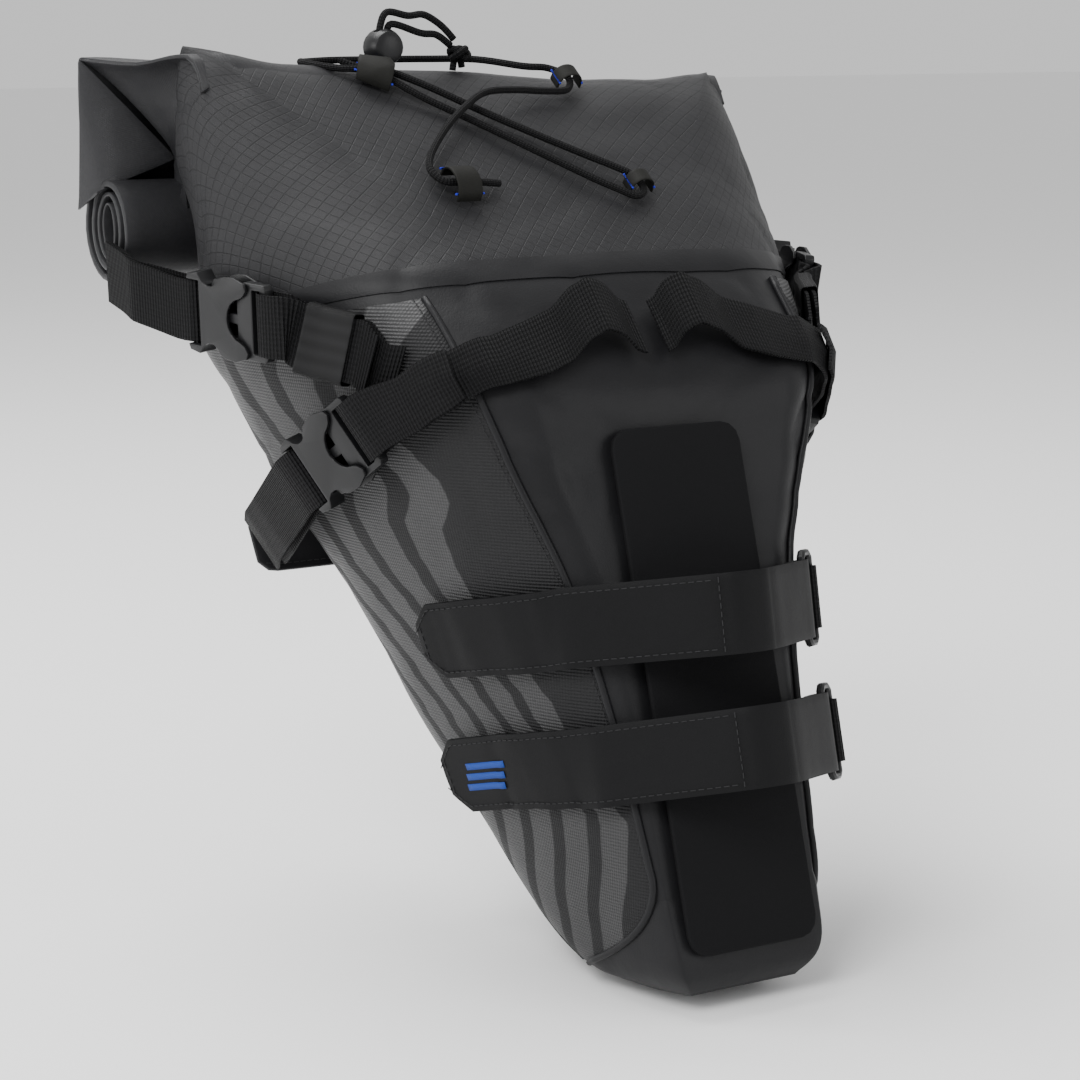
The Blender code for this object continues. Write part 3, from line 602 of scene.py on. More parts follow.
def ringNormals():
    normals = []
    for row, ring in enumerate(rings):
        below, above = rings[max(row - 1, 0)], rings[min(row + 1, ringCount - 1)]
        line = []
        for column in range(ringSize):
            across = ring[(column + 1) % ringSize] - ring[column - 1]
            upward = above[column] - below[column]
            line.append(across.cross(upward).normalized())
        normals.append(line)
    return normals


normals = ringNormals()


def wrinkle(spot, amount):
    # soft billows with sharper folds running over them, in millimetres along the normal
    billow = noise.noise(spot / 62.0) * 2.0 + noise.noise(spot / 27.0 + Vector((5, 1, 3))) * 0.9
    bent = Vector((spot.x * 0.5, spot.y, spot.z * 1.1)) / 34.0
    fold = 1 - abs(noise.noise(bent + Vector((11, 4, 9)))) * 2.6
    crease = max(fold, 0.0) ** 4
    return (billow - crease * 1.5) * amount


def calm(spot):
    # how loose the cloth is: tight over the spine and nose, loose at the shoulders and the top
    loose = min(max((spot.z + 60) / 170, 0.25), 1.0)
    flat = min(max(abs(spot.x) / 30, 0.15), 1.0) if spot.z < 118 and spot.y < onSpine(spot.z) + 4 else 1.0
    return loose * flat


# How the top of the bag stands up at its right rear corner and dips elsewhere: (x, height)
topEdge = (
    (-131, 9.5), (-112, 6.5), (-90, 1.5), (-60, -2.0), (-30, -3.5),
    (10, -5.0), (50, -9.5), (95, -9.0), (131, -4.0),
)


def ridge(spot):
    rearward = min(max((spot.y - 150) / 43, 0.0), 1.0) ** 1.3
    upper = min(max((spot.z - 195) / 35, 0.0), 1.0)
    for (before, low), (after, high) in zip(topEdge, topEdge[1:]):
        if spot.x <= after:
            break
    share = min(max((spot.x - before) / (after - before), 0.0), 1.0)
    return (low + (high - low) * share) * rearward * upper


def skinPoint(row, column, lift=0.0):
    spot = rings[row][column % ringSize]
    push = wrinkle(spot, calm(spot)) * 0.75 if row > 1 else 0.0
    return spot + normals[row][column % ringSize] * (push + lift) + Vector((0, 0, ridge(spot)))


def clothMap():
    # cloth position of every ring point, in tenths of a metre: round its ring from the front, and up its column
    half = ringSize // 2
    cuts = []
    for row, ring in enumerate(rings):
        line = [0.0] * ringSize
        for way in (1, -1):
            for step in range(1, half if way < 0 else half + 1):
                here, before = way * step % ringSize, way * (step - 1) % ringSize
                line[here] = line[before] + way * (ring[here] - ring[before]).length / 100
        heights = [0.0] * ringSize
        if cuts:
            climbs = [(here - below).length / 100 for here, below in zip(ring, rings[row - 1])]
            heights = [height + climb for (_, height), climb in zip(cuts[-1], climbs)]
        cuts.append(list(zip(line, heights)))
    return cuts


ringCuts = clothMap()
print("stage: bag form ready")


def makeShell():
    first = rowStep * 2
    points, cuts = [], []
    for row in range(first, ringCount):
        for column in range(ringSize):
            points.append(skinPoint(row, column))
            cuts.append(ringCuts[row][column])
    faces = gridFaces(ringCount - first, ringSize, True)
    last = (ringCount - first - 1) * ringSize
    faces += [tuple(reversed(range(ringSize))), tuple(range(last, last + ringSize))]
    shell = addPiece("bagShell", points, faces, "shell", cuts)
    shell.data.materials.append(finishes["coated"])
    seamRow = (panelLayout["seamRow"] - first) * ringSize
    for face in shell.data.polygons[:seamRow]:
        face.material_index = 1
    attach(shell, "bag")
    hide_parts("main_bag")
    return shell


def cadTree():
    points, faces = [], []
    for name in ("main_bag", "nose_boot"):
        mesh = nodes[name].data
        start = len(points)
        points += [vertex.co / mm for vertex in mesh.vertices]
        faces += [tuple(start + index for index in face.vertices) for face in mesh.polygons]
    return BVHTree.FromPolygons(points, faces)


def makeBoot():
    last = rowStep * 2 + 1
    points, cuts = [], []
    for row in range(last + 1):
        for column in range(ringSize):
            points.append(skinPoint(row, column, 0.7 if row < last else 0.1))
            cuts.append(ringCuts[row][column])
    faces = gridFaces(last + 1, ringSize, True)
    faces += [tuple(reversed(range(ringSize)))]
    boot = addPiece("noseCap", points, faces, "coated", cuts)
    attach(boot, "bag")
    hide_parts("nose_boot")


# Cloth panels that lie on the shell between two columns of its rings; the stripe line is (height, rearwards)
panelLayout = {
    "sideRows": (10, 72),
    "lift": 0.7,
    "seamRow": 72,
    "stripeLine": (
        (-125, 8), (-95, 2), (-67, -3), (-50, -3), (-41, 5), (-28, 15), (-10, 27), (4, 37), (20, 50), (33, 60),
        (46, 64.5), (58, 66.5), (65, 62.5), (70, 60.2), (76, 61.5), (87, 69.5), (98, 80), (112, 84), (126, 76),
        (140, 74), (156, 80),
    ),
    "stripeStep": 21.0,
}


def sideEdges(row):
    # first and last ring column of the side panel at a row; its lower front corner is round
    share = row / (rowStep * 8)
    corner = max((21 - row) / 9, 0.0) ** 1.6 * 26
    front = bagForm["frontSteps"] + 5 + share * 5 + corner
    rear = bagForm["frontSteps"] + bagForm["flankSteps"] + 16
    return front, rear


def columnPoint(row, column, side, lift):
    low = math.floor(column)
    first = skinPoint(row, low * side, lift)
    return first.lerp(skinPoint(row, (low + 1) * side, lift), column - low)


def stripeCut(spot):
    # stripes counted rearwards from the foremost one's edge; those behind repeat its bends a little higher
    line = panelLayout["stripeLine"]
    height = spot.z
    edge = line[-1][1]
    for _ in range(2):
        for (low, before), (high, after) in zip(line, line[1:]):
            if height <= high:
                share = max((height - low) / (high - low), 0.0)
                share = share * share * (3 - 2 * share)
                edge = before + (after - before) * share
                break
        height = spot.z - min(max(spot.y - edge, 0.0), 60.0) * 0.10
    step = panelLayout["stripeStep"] * (1 + min(max(spot.z, -20.0), 90.0) / 260)
    return (spot.y - edge) / step


def makePanels():
    steps = 40
    rows = range(*panelLayout["sideRows"])
    for label, side in sides.items():
        points, cuts = [], []
        for row in rows:
            front, rear = sideEdges(row)
            for step in range(steps + 1):
                spot = columnPoint(row, front + (rear - front) * step / steps, side, panelLayout["lift"])
                points.append(spot)
                cuts.append((stripeCut(spot), spot.y / 100))
        faces = gridFaces(len(rows), steps + 1)
        if side < 0:
            faces = [tuple(reversed(face)) for face in faces]
        panel = addPiece(f"sidePanel_{label}", points, faces, "side", cuts)
        thicken(panel, 0.9, 0.0, 0.25)
        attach(panel, "bag")
        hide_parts(f"side_panel_{label}")
        for edge, where, radius in (("front", 0, 1.5), ("rear", 1, 1.2)):
            path = [columnPoint(row, sideEdges(row)[where], side, 1.0) for row in rows]
            piping = tubePiece(f"sidePiping_{edge}_{label}", path, radius, "coated", 8)
            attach(recalc(piping), "bag")
        path = [columnPoint(row, sideEdges(row)[0] + 1.2, side, 1.25) for row in rows]
        addStitches("bag", "thread", path)


def makeSeamTape():
    # the tape over the seam where the top cloth meets the panels
    row = panelLayout["seamRow"]
    points, cuts = [], []
    for offset in (0, 1, 2):
        for column in range(ringSize):
            points.append(skinPoint(row + offset, column, 0.35))
            cuts.append(ringCuts[row + offset][column])
    tape = addPiece("seamTape", points, gridFaces(3, ringSize, True), "coated", cuts)
    thicken(tape, 0.35, 0.0, 0.1)
    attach(tape, "bag")


# Straps: the same routes as the frame's, laid on the plain bag's surface
webbing = {"width": 25.0, "thickness": 1.4, "columns": 6}
strapRoutes = {
    "compression": (
        (153, 208, 139), (151, 190, 140), (146, 166, 140), (139, 142, 139), (132, 119, 136),
        (129, 108, 134), (123, 88, 130), (117, 75, 127.5), (112, 64, 124.5),
    ),
    "rollEnd": ((188, 146), (198, 149), (212, 152)),
    "rail": (
        (104, 164, 42), (110, 143, 58), (113, 122, 72), (112, 103, 85), (106, 82, 98), (97, 64, 110),
        (84, 50, 119), (68, 44, 124),
    ),
    "arch": (
        (52, 44, 130.5), (40, 47, 134), (31, 49, 141), (22, 50, 144.5), (14, 50, 141.5), (9, 49, 136),
        (5, 48, 134.6),
    ),
    "anchor": ((114, 152, 52), (110, 168, 44), (104, 181, 38)),
}
# Where a buckle lies on its route, and the bars and openings its webbing turns round, along its own length
buckle = {
    "at": 3, "lift": 9.5,
    "socketBar": -17.4, "socketEnd": -25.0, "socketWrap": 3.2,
    "plugBar": 23.6, "plugWrap": 3.9,
}
cadSkin = cadTree()


def snap(tree, point, lift):
    spot, normal = tree.find_nearest(Vector(point))[:2]
    return spot + normal * lift, normal


def laidRows(tree, points, width, lifts, steps=3, across=3, flat=False):
    guide = smoothPath(points, steps)
    heights = [lifts[0]]
    for low, high in zip(lifts, lifts[1:]):
        heights += [low + (high - low) * (step + 1) / steps for step in range(steps)]
    facing = [snap(tree, spot, 0)[1] for spot in guide]
    rows = []
    for index, spot in enumerate(guide):
        ahead = guide[min(index + 1, len(guide) - 1)] - guide[max(index - 1, 0)]
        reach = 5 if flat else 2
        normal = sum(facing[max(index - reach, 0) : index + reach + 1], Vector()).normalized()
        side = normal.cross(ahead).normalized()
        centre = snap(tree, spot, heights[index])[0]
        row = []
        for column in range(across):
            offset = side * width * (column / (across - 1) - 0.5)
            row.append(centre + offset if flat else snap(tree, spot + offset, 0)[0] + normal * heights[index])
        rows.append(row)
    return rows


def frameAt(origin, along, normal):
    u = Vector(along).normalized()
    w = (Vector(normal) - u * Vector(normal).dot(u)).normalized()
    v = w.cross(u)
    return Matrix.Translation(origin) @ Matrix((u, v, w)).transposed().to_4x4()


def frameOn(tree, points, index, lift):
    spot, normal = snap(tree, points[index], 0)
    ahead = (Vector(points[index + 1]) - Vector(points[index - 1])).normalized()
    across = normal.cross(ahead)
    around = [snap(tree, spot + ahead * u + across * v, 0)[1] for u in (-12, 0, 12) for v in (-10, 0, 10)]
    mean = sum(around, Vector()).normalized()
    return frameAt(spot + mean * lift, ahead, mean)


def localRows(matrix, profile, width):
    return [[matrix @ Vector((u, v, w)) for v in (-width / 2, 0.0, width / 2)] for u, w in profile]


def turnBack(bar, radius, sign):
    turn = [math.radians(angle) for angle in range(0, 181, 15)]
    return [(bar - sign * radius * math.sin(t), radius * math.cos(t)) for t in turn]


def joinRows(first, second):
    straight = (first[-1][0] - second[0][0]).length
    if (first[-1][0] - second[0][-1]).length < straight:
        second = [list(reversed(row)) for row in second]
    return first + second


def mirrored(point, side):
    return Vector((point[0] * side, point[1], point[2]))


def plugLoop(matrix):
    # webbing that comes in over a plug, turns back round its bar and runs out under it
    wrap = buckle["plugWrap"]
    profile = [(34.0, 1.4), (28.5, 3.3)] + turnBack(buckle["plugBar"], wrap, 1) + [(28.5, -wrap), (34.0, -wrap)]
    return localRows(matrix, profile, webbing["width"])


def socketLoop(matrix, height):
    end, wrap = buckle["socketEnd"], buckle["socketWrap"]
    profile = [(end, height)] + turnBack(buckle["socketBar"], wrap, -1) + [(end, -wrap)]
    return localRows(matrix, profile, webbing["width"])


stitchRuns = {}


def addStitches(body, tone, path):
    stitchRuns.setdefault((body, tone), []).append(path)


def edgeRuns(body, tone, rows, inset, start, end, lift):
    # stitch lines near both edges of a band, between two of its rows
    chosen = rows[start:end]
    for left, right in ((0, -1), (-1, 0)):
        path = []
        for index, row in enumerate(chosen):
            inward = (row[right] - row[left]).normalized()
            ahead = (chosen[min(index + 1, len(chosen) - 1)][0] - chosen[max(index - 1, 0)][0]).normalized()
            normal = inward.cross(ahead).normalized() * (1 if left == 0 else -1)
            path.append(row[left] + inward * inset + normal * lift)
        addStitches(body, tone, path)


def filled(rows, gap=9.0):
    # long straight stretches get rows of their own, so that a smooth curve through them doesn't swing out
    full = [rows[0]]
    for row in rows[1:]:
        before = full[-1]
        count = max(1, math.ceil((row[len(row) // 2] - before[len(row) // 2]).length / gap))
        full += [[a.lerp(b, step / count) for a, b in zip(before, row)] for step in range(1, count + 1)]
    return full


def fineBand(name, rows, thickness, finish, steps=2, offset=0.0):
    rows = smoothRows(filled([finer(row, webbing["columns"]) for row in rows]), steps)
    return bandPiece(name, rows, thickness, finish, offset)


def makeCompressionStrap(label, side):
    route = [mirrored(point, side) for point in strapRoutes["compression"]]
    matrix = frameOn(cadSkin, route, buckle["at"], buckle["lift"])
    width = webbing["width"]
    after, heights = route[buckle["at"] + 2 :], (6.8, 6.6, 5.4, 4.0)
    under = laidRows(cadSkin, after, width, heights, flat=True)
    over = laidRows(cadSkin, after, width, [height + 3.2 for height in heights], flat=True)[:8]
    rows = joinRows(joinRows(list(reversed(over)), plugLoop(matrix)), under)
    piece = fineBand(f"compressionWebbing_{label}", rows, webbing["thickness"], "webbing")
    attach(piece, "bag")
    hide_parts(f"compression_webbing_{label}")
    makeKeeper(label, after, heights)
    across = matrix.to_3x3() @ Vector((0, width / 2, 0))
    ends = {}
    for layer, lift in (("outer", 1.6), ("inner", 0.0)):
        x = (mouth["halfWidth"] + 1.6 + lift) * side
        spots = [Vector((x, y, z)) for y, z in strapRoutes["rollEnd"]]
        ends[layer] = [[spot - across, spot, spot + across] for spot in spots]
    rows = joinRows(joinRows(list(reversed(ends["outer"])), socketLoop(matrix, 3.2)), ends["inner"])
    piece = fineBand(f"rollEndWebbing_{label}", rows, 1.2, "webbing")
    fixed, moving = ends["outer"][1][1], matrix @ Vector((buckle["socketEnd"], 0, 0))
    fixed * mm
    moving * mm
    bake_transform(piece)
    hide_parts(f"roll_end_webbing_{label}")


def makeKeeper(label, after, heights):
    # a flat elastic ring round both layers of webbing
    half, low, high, corner = webbing["width"] / 2 + 1.6, -2.0, 5.2, 1.6
    rows = laidRows(cadSkin, after, webbing["width"], heights, flat=True)[1:5]
    path = smoothPath([row[1] for row in rows], 5)
    widths = smoothPath([(row[-1] - row[0]).normalized() for row in rows], 5)
    outline = []
    for across, up, turn in ((1, 1, 0), (-1, 1, 90), (-1, -1, 180), (1, -1, 270)):
        for step in range(4):
            angle = math.radians(turn + step * 30)
            middle = across * (half - corner), (high if up > 0 else low) - up * corner
            outline.append((middle[0] + corner * math.cos(angle), middle[1] + corner * math.sin(angle)))
    outward = sum((snap(cadSkin, spot, 0)[1] for spot in path), Vector()).normalized()
    points, cuts = [], []
    along = runLengths(path)
    for index, spot in enumerate(path):
        ahead = (path[min(index + 1, len(path) - 1)] - path[max(index - 1, 0)]).normalized()
        up = ahead.cross(widths[index]).normalized()
        up = up if up.dot(outward) > 0 else -up
        side = up.cross(ahead)
        for step, (u, w) in enumerate(outline):
            points.append(spot + side * u + up * w)
            cuts.append((step * 0.04, along[index] / 100))
    faces = gridFaces(len(path), len(outline), True)
    piece = addPiece(f"keeperSleeve_{label}", points, faces, "elastic", cuts)
    recalc(piece)
    thicken(piece, 0.9, 0.0, 0.3)
    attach(piece, "bag")
    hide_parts(f"webbing_keeper_{label}")


def makeRailStrap(label, side):
    route = [mirrored(point, side) for point in strapRoutes["rail"]]
    matrix = frameOn(cadSkin, route, buckle["at"], buckle["lift"])
    width = webbing["width"]
    after, heights = route[buckle["at"] + 2 :], (7.9, 8.6, 6.8)
    under = laidRows(cadSkin, after, width, heights)
    over = laidRows(cadSkin, after, width, [height + 3.0 for height in heights])[:4]
    rows = joinRows(joinRows(list(reversed(over)), plugLoop(matrix)), under)
    across = Vector((0.0, 0.66, 0.75)) * width / 2
    arch = [mirrored(point, side) for point in strapRoutes["arch"]]
    rows = joinRows(rows, [[spot - across, spot, spot + across] for spot in arch])
    piece = fineBand(f"railWebbing_{label}", rows, webbing["thickness"], "webbing")
    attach(piece, "bag")
    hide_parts(f"rail_webbing_{label}")
    across = matrix.to_3x3() @ Vector((0, width / 2, 0))
    outer = [mirrored(point, side) for point in strapRoutes["anchor"]]
    inner = [mirrored((x - 2.2, y - 1.5, z - 1.0), side) for x, y, z in strapRoutes["anchor"][:2]]
    outer, inner = ([[spot - across, spot, spot + across] for spot in line] for line in (outer, inner))
    rows = joinRows(joinRows(list(reversed(outer)), socketLoop(matrix, 3.0)), inner)
    piece = fineBand(f"anchorWebbing_{label}", rows, 1.2, "webbing")
    fixed, moving = outer[2][1], matrix @ Vector((buckle["socketEnd"], 0, 0))
    fixed * mm
    moving * mm
    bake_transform(piece)
    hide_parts(f"anchor_webbing_{label}")


# The sewn tab across the back that both anchor webbings leave
wing = {"halfWidth": 102, "place": (193.5, 36.0), "halfHeight": 13.0, "slope": (0.51, 0.86), "roundEnd": 9.0}


def makeWing():
    along = Vector((0.0, *wing["slope"])) * wing["halfHeight"]
    wide = wing["halfWidth"]
    rows = []
    for step in range(49):
        x = wide * (step / 24 - 1)
        spot = Vector((x, *wing["place"]))
        edge = min((wide - abs(x)) / wing["roundEnd"], 1.0)
        half = along * (0.62 + 0.38 * math.sqrt(max(1 - (1 - edge) ** 2, 0.0)))
        rows.append([spot - half + half * 2 * share / 6 for share in range(7)])
    piece = bandPiece("anchorWing", rows, 2.2, "coated", 0.0, 0.5)
    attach(piece, "bag")
    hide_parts("anchor_wing")
    edgeRuns("bag", "thread", rows, 2.6, 1, 48, 1.35)
    edgeRuns("bag", "thread", rows, 2.6, 1, 48, -1.35)


# The rolled mouth: the top flap, the back panel and the coil, all one cloth; and the folded gusset at each end
mouth = {
    "halfWidth": 153.0, "halfSteps": 24,
    "flap": ((178, 128, -1.0, 0.55), (188, 130, 0.6, 0.1)),
    "top": ((208, 232.5, 143), (226, 233, 160)),
    "back": ((227.5, 231, 160), (232.5, 211, 158), (238, 190, 155)),
    "earRise": 5.0, "leftDrop": 12.0, "sag": 4.0,
    "centre": (219.0, 169.0), "outer": 22.0, "inner": 5.2, "turns": 3.2, "start": 24, "tall": 3.5,
    "flapThickness": 1.4, "thickness": 2.6,
}
gusset = {
    "heel": (157, 237.5, 176), "tuck": (123, 215, 197), "lip": (156.5, 221, 184),
    "creaseHigh": (129, 186, 222), "creaseLow": (126, 199, 190),
    "foot": (122, 205, 158), "base": (126, 214, 166),
}
leftCreaseDrop = 9.0


def spread(half):
    steps = mouth["halfSteps"]
    return [(step / steps - 1) * half for step in range(2 * steps + 1)]


def mouthHeight(x):
    # how far the mouth's top edge stands above or below its drawn height
    sag = mouth["sag"]
    if x < 0:
        return mouth["earRise"] * min(-x / 150, 1.0) ** 2.2 - sag * max(1 + x / 90, 0.0)
    return -sag - (mouth["leftDrop"] - sag) * min(x / 110, 1.0)


def mouthRow(y, z, half, weight):
    return [Vector((x, y, z + mouthHeight(x) * weight)) for x in spread(half)]


def shellTree():
    points = [skinPoint(row, column) for row in range(ringCount) for column in range(ringSize)]
    return BVHTree.FromPolygons(points, gridFaces(ringCount, ringSize, True))


looseSkin = shellTree()


def topHeight(x, y):
    # height of the finished shell's top under a place, or of the nearest shell there
    hit = looseSkin.ray_cast(Vector((x, y, 300.0)), Vector((0, 0, -1)))[0]
    return hit.z if hit else looseSkin.find_nearest(Vector((x, y, 235.0)))[0].z


def flapRow(y, half, rise, droop):
    # a row that lies on the shell's top and droops past its corners
    row = []
    for x in spread(half):
        end = max(abs(x) - 112, 0.0) * droop
        row.append(Vector((x, y, topHeight(min(max(x, -120), 120), y) + rise - end)))
    return row


def coilRows():
    steps = round(mouth["turns"] * 26)
    coil = []
    for step in range(steps + 1):
        share = step / steps
        radius = mouth["outer"] + (mouth["inner"] - mouth["outer"]) * share
        turn = math.radians(mouth["start"]) - math.tau * mouth["turns"] * share
        flat = 1 - 0.25 * share
        y = mouth["centre"][0] + math.cos(turn) * radius * flat
        z = mouth["centre"][1] + math.sin(turn) * (radius + mouth["tall"] * share)
        coil.append([Vector((x, y, z)) for x in spread(mouth["halfWidth"])])
    return coil


def makeMouth():
    top = [flapRow(*row) for row in mouth["flap"]]
    top += [mouthRow(y, z, half, weight) for (y, z, half), weight in zip(mouth["top"], (0.8, 1.0))]
    back = [mouthRow(y, z, half, weight) for (y, z, half), weight in zip(mouth["back"], (1.0, 0.6, 0.1))]
    top, back = smoothRows(top, 5), smoothRows(back, 6)
    roll = top[-1:] + back + coilRows()
    for name, run, thickness in (
        ("mouthFlap", top, mouth["flapThickness"]),
        ("closureRoll", roll, mouth["thickness"]),
    ):
        shaped = [[spot + Vector((0, 1, 0.4)) * wrinkle(spot * 0.8, 0.45) for spot in row] for row in run]
        piece = bandPiece(name, shaped, thickness, "roll", 0.0, 0.9)
        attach(piece, "bag")
        if name == "closureRoll":
            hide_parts("closure_roll")
    return {-1: [row[0] for row in top], 1: [row[-1] for row in top]}


def facet(corners, bulge, edge=(), cuts=12):
    # a soft four-sided patch: its middle stands off the flat by bulge millimetres, its first side may follow
    # an edge, and then it also creases near its second side
    a, b, c, d = corners
    out = (b - a).cross(d - a).normalized()
    rows = []
    for row in range(cuts + 1):
        v = row / cuts
        line = []
        for column in range(cuts + 1):
            u = column / cuts
            spot = a.lerp(b, u).lerp(d.lerp(c, u), v)
            if edge:
                place = u * (len(edge) - 1)
                low = min(math.floor(place), len(edge) - 2)
                spot += (edge[low].lerp(edge[low + 1], place - low) - a.lerp(b, u)) * (1 - v)
                spot += out * bulge * 1.1 * math.exp(-((5 * (1 - u)) ** 2)) * math.sqrt(v * (1 - v))
            line.append(spot + out * bulge * 16 * u * (1 - u) * v * (1 - v))
        rows.append(line)
    return rows


def makeGussets(flapEdges):
    facets = (
        (("apex", "corner", "tuck", "creaseHigh"), -7.0),
        (("creaseHigh", "tuck", "base", "creaseLow"), -4.0),
        (("corner", "heel", "lip", "tuck"), 3.0),
        (("creaseLow", "base", "base", "foot"), 0.0),
    )
    for label, side in sides.items():
        spots = {key: mirrored(point, side) for key, point in gusset.items()}
        edge = flapEdges[side]
        spots["apex"], spots["corner"] = edge[0], edge[-1]
        if side > 0:
            spots["creaseHigh"].z -= leftCreaseDrop
        work = bmesh.new()
        layer = work.loops.layers.uv.new("cut")
        for names, bulge in facets:
            rows = facet([spots[key] for key in names], bulge * -side, edge if names[0] == "apex" else ())
            made = [[work.verts.new(spot * mm) for spot in row] for row in rows]
            for low, high in zip(made, made[1:]):
                for column in range(len(low) - 1):
                    corners = (low[column], low[column + 1], high[column + 1], high[column])
                    corners = corners if side > 0 else tuple(reversed(corners))
                    face = work.faces.new(corners)
                    face.smooth = True
                    for loop in face.loops:
                        loop[layer].uv = (loop.vert.co.y * 10, loop.vert.co.z * 10)
        bmesh.ops.remove_doubles(work, verts=work.verts[:], dist=0.0002)
        bmesh.ops.dissolve_degenerate(work, dist=0.00005, edges=work.edges[:])
        bmesh.ops.recalc_face_normals(work, faces=work.faces[:])
        for vertex in work.verts:
            vertex.co += vertex.normal * wrinkle(vertex.co / mm, 0.4) * mm
        mesh = bpy.data.meshes.new(f"mouthGusset_{label}")
        work.to_mesh(mesh)
        work.free()
        mesh.materials.append(finishes["roll"])
        piece = bpy.data.objects.new(mesh.name, mesh)
        bpy.context.scene.collection.objects.link(piece)
        thicken(piece, 1.2, 0.0, 0.25)
        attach(piece, "bag")


# Post straps, laid out in the plane across the post: x, q rearwards, b up the strap's width
postStraps = {
    "width": 31.0, "radius": 18.05, "post": 15.45, "chamfer": 9.0,
    "frontBar": (50.0, 18.5), "rearBar": (57.5, 24.0), "frontWrap": 2.8, "rearWrap": 2.9,
    "upper": {"height": 30.0, "tilt": 10.5, "tip": 97.0, "corner": (-57.0, 27.5)},
    "lower": {"height": -20.0, "tilt": 14.5, "tip": 114.0, "corner": (-51.0, 27.5)},
    "tail": ((-58, 38), (-64, 52), (-70, 66), (-72, 80)),
    "base": ((-58, 37), (-62, 48), (-66, 60), (-70, 74)),
    "tab": ((66, 42), (70, 54), (74, 68)),
    "tabStart": (66.0, 40.0),
}


def tangentTurn(point, radius, side):
    distance = math.hypot(*point)
    return math.degrees(math.atan2(point[1], point[0]) + side * math.acos(radius / distance))


def postPlane(level):
    # a function that gives the point at x, q and b in the plane across the post
    height, tilt = postStraps[level]["height"], math.radians(postStraps[level]["tilt"])
    rear = Vector((0.0, math.cos(tilt), -math.sin(tilt)))
    up = Vector((0.0, math.sin(tilt), math.cos(tilt)))
    centre = Vector((0.0, height * math.tan(lean) - (postStraps["post"] + 0.6) / math.cos(lean), height))

    def place(x, q, b=0.0):
        return centre + Vector((x, 0.0, 0.0)) + rear * q + up * b

    return place


def rowsAt(place, path, width):
    return [[place(x, q, b) for b in (-width / 2, 0.0, width / 2)] for x, q in path]


def halfTurn(bar, start, onward, radius):
    # half a turn round a bar, in 18 degree steps, that begins on the start side and goes over by onward
    turn = []
    for angle in range(0, 181, 18):
        ray = start * math.cos(math.radians(angle)) + onward * math.sin(math.radians(angle))
        turn.append(tuple(bar + ray * radius))
    return turn


def aroundPost(level):
    # the strap's path from the bag's corner round the post to the ring's front bar and back over itself
    radius = postStraps["radius"]
    corner, bar = postStraps[level]["corner"], Vector(postStraps["frontBar"])
    first, last = tangentTurn(corner, radius, 1), 360 + tangentTurn(bar, radius, -1)
    turns = [math.radians(first + (last - first) * step / 10) for step in range(11)]
    path = [corner] + [(radius * math.cos(turn), radius * math.sin(turn)) for turn in turns]
    along = (bar - Vector(path[-1])).normalized()
    out = Vector((along.y, -along.x))
    path += halfTurn(bar, out, along, postStraps["frontWrap"])
    return path + [tuple(bar - out * 2.0 - along * 8.0), tuple(bar - out * 0.8 - along * 20.0)]


def strapTip(rows):
    # rows that narrow towards a strap's first row, for its cut-off corners
    chamfer, half = postStraps["chamfer"], postStraps["width"] / 2
    forward = (rows[0][4] - rows[6][4]).normalized()
    tip = []
    for share in (1.0, 0.66, 0.33):
        narrow = 1 - share * (chamfer - 1.0) / half
        tip.append([rows[0][4].lerp(spot, narrow) + forward * chamfer * share for spot in rows[0]])
    return tip


def sewTail(body, rows):
    # stitches along both edges of both faces, from the tip to the end of the stiff part
    stop = next(index for index, row in enumerate(rows) if row[4].x > -14)
    for lift in (0.95, -0.95):
        edgeRuns(body, "thread", rows, 2.4, 0, stop, lift)
        for index in (0, stop):
            row, following = rows[index], rows[index + 1]
            facing = (row[-1] - row[0]).cross(row[4] - following[4]).normalized()
            inset = (row[-1] - row[0]).normalized() * 2.4
            inward = (following[4] - row[4]).normalized() * (2.4 if index == 0 else 0.0)
            off = inward + facing * lift
            addStitches(body, "thread", [row[0] + inset + off, row[-1] - inset + off])


def makePostStrap(level):
    place = postPlane(level)
    width = postStraps["width"]
    laid = laidRows(cadSkin, [place(*spot) for spot in postStraps["tail"]], width, [5.8] * 4)
    straight = laid[-1][1] - laid[-4][1]
    reach = postStraps[level]["tip"] - 80 - postStraps["chamfer"]
    flying = [[point + straight.normalized() * reach * share for point in laid[-1]] for share in (0.5, 1.0)]
    free = rowsAt(place, aroundPost(level), width)
    rows = joinRows(list(reversed(laid + flying)), free)
    fine = smoothRows(filled([finer(row, 8) for row in rows]), 2)
    fine = strapTip(fine) + fine
    body = f"{level}_tail_body"
    piece = bandPiece(f"{level}StrapTail", fine, 1.7, "rubber", 0.0, 0.45)
    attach(piece, body)
    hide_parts(f"{level}_strap_tail")
    sewTail(body, fine)
    base = laidRows(cadSkin, [place(*spot) for spot in postStraps["base"]], width - 1, [3.2] * 4)
    piece = fineBand(f"{level}StrapBase", base, 1.4, "pile")
    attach(piece, "bag")
    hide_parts(f"{level}_strap_base")
    makeRingTab(level, place)
    if level == "lower":
        makeMark(fine, body)


def makeRingTab(level, place):
    path = [place(*spot) for spot in postStraps["tab"]]
    outer = laidRows(cadSkin, path, webbing["width"], [5.6] * 3)
    inner = laidRows(cadSkin, path[:2], webbing["width"], [3.0] * 2)
    bar = Vector(postStraps["rearBar"])
    back = (Vector(postStraps["tabStart"]) - bar).normalized()
    bend = halfTurn(bar, Vector((back.y, -back.x)), -back, postStraps["rearWrap"])
    rows = joinRows(joinRows(list(reversed(outer)), rowsAt(place, bend, webbing["width"])), inner)
    piece = fineBand(f"{level}RingTab", rows, 1.3, "webbing")
    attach(piece, "bag")
    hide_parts(f"{level}_ring_tab")


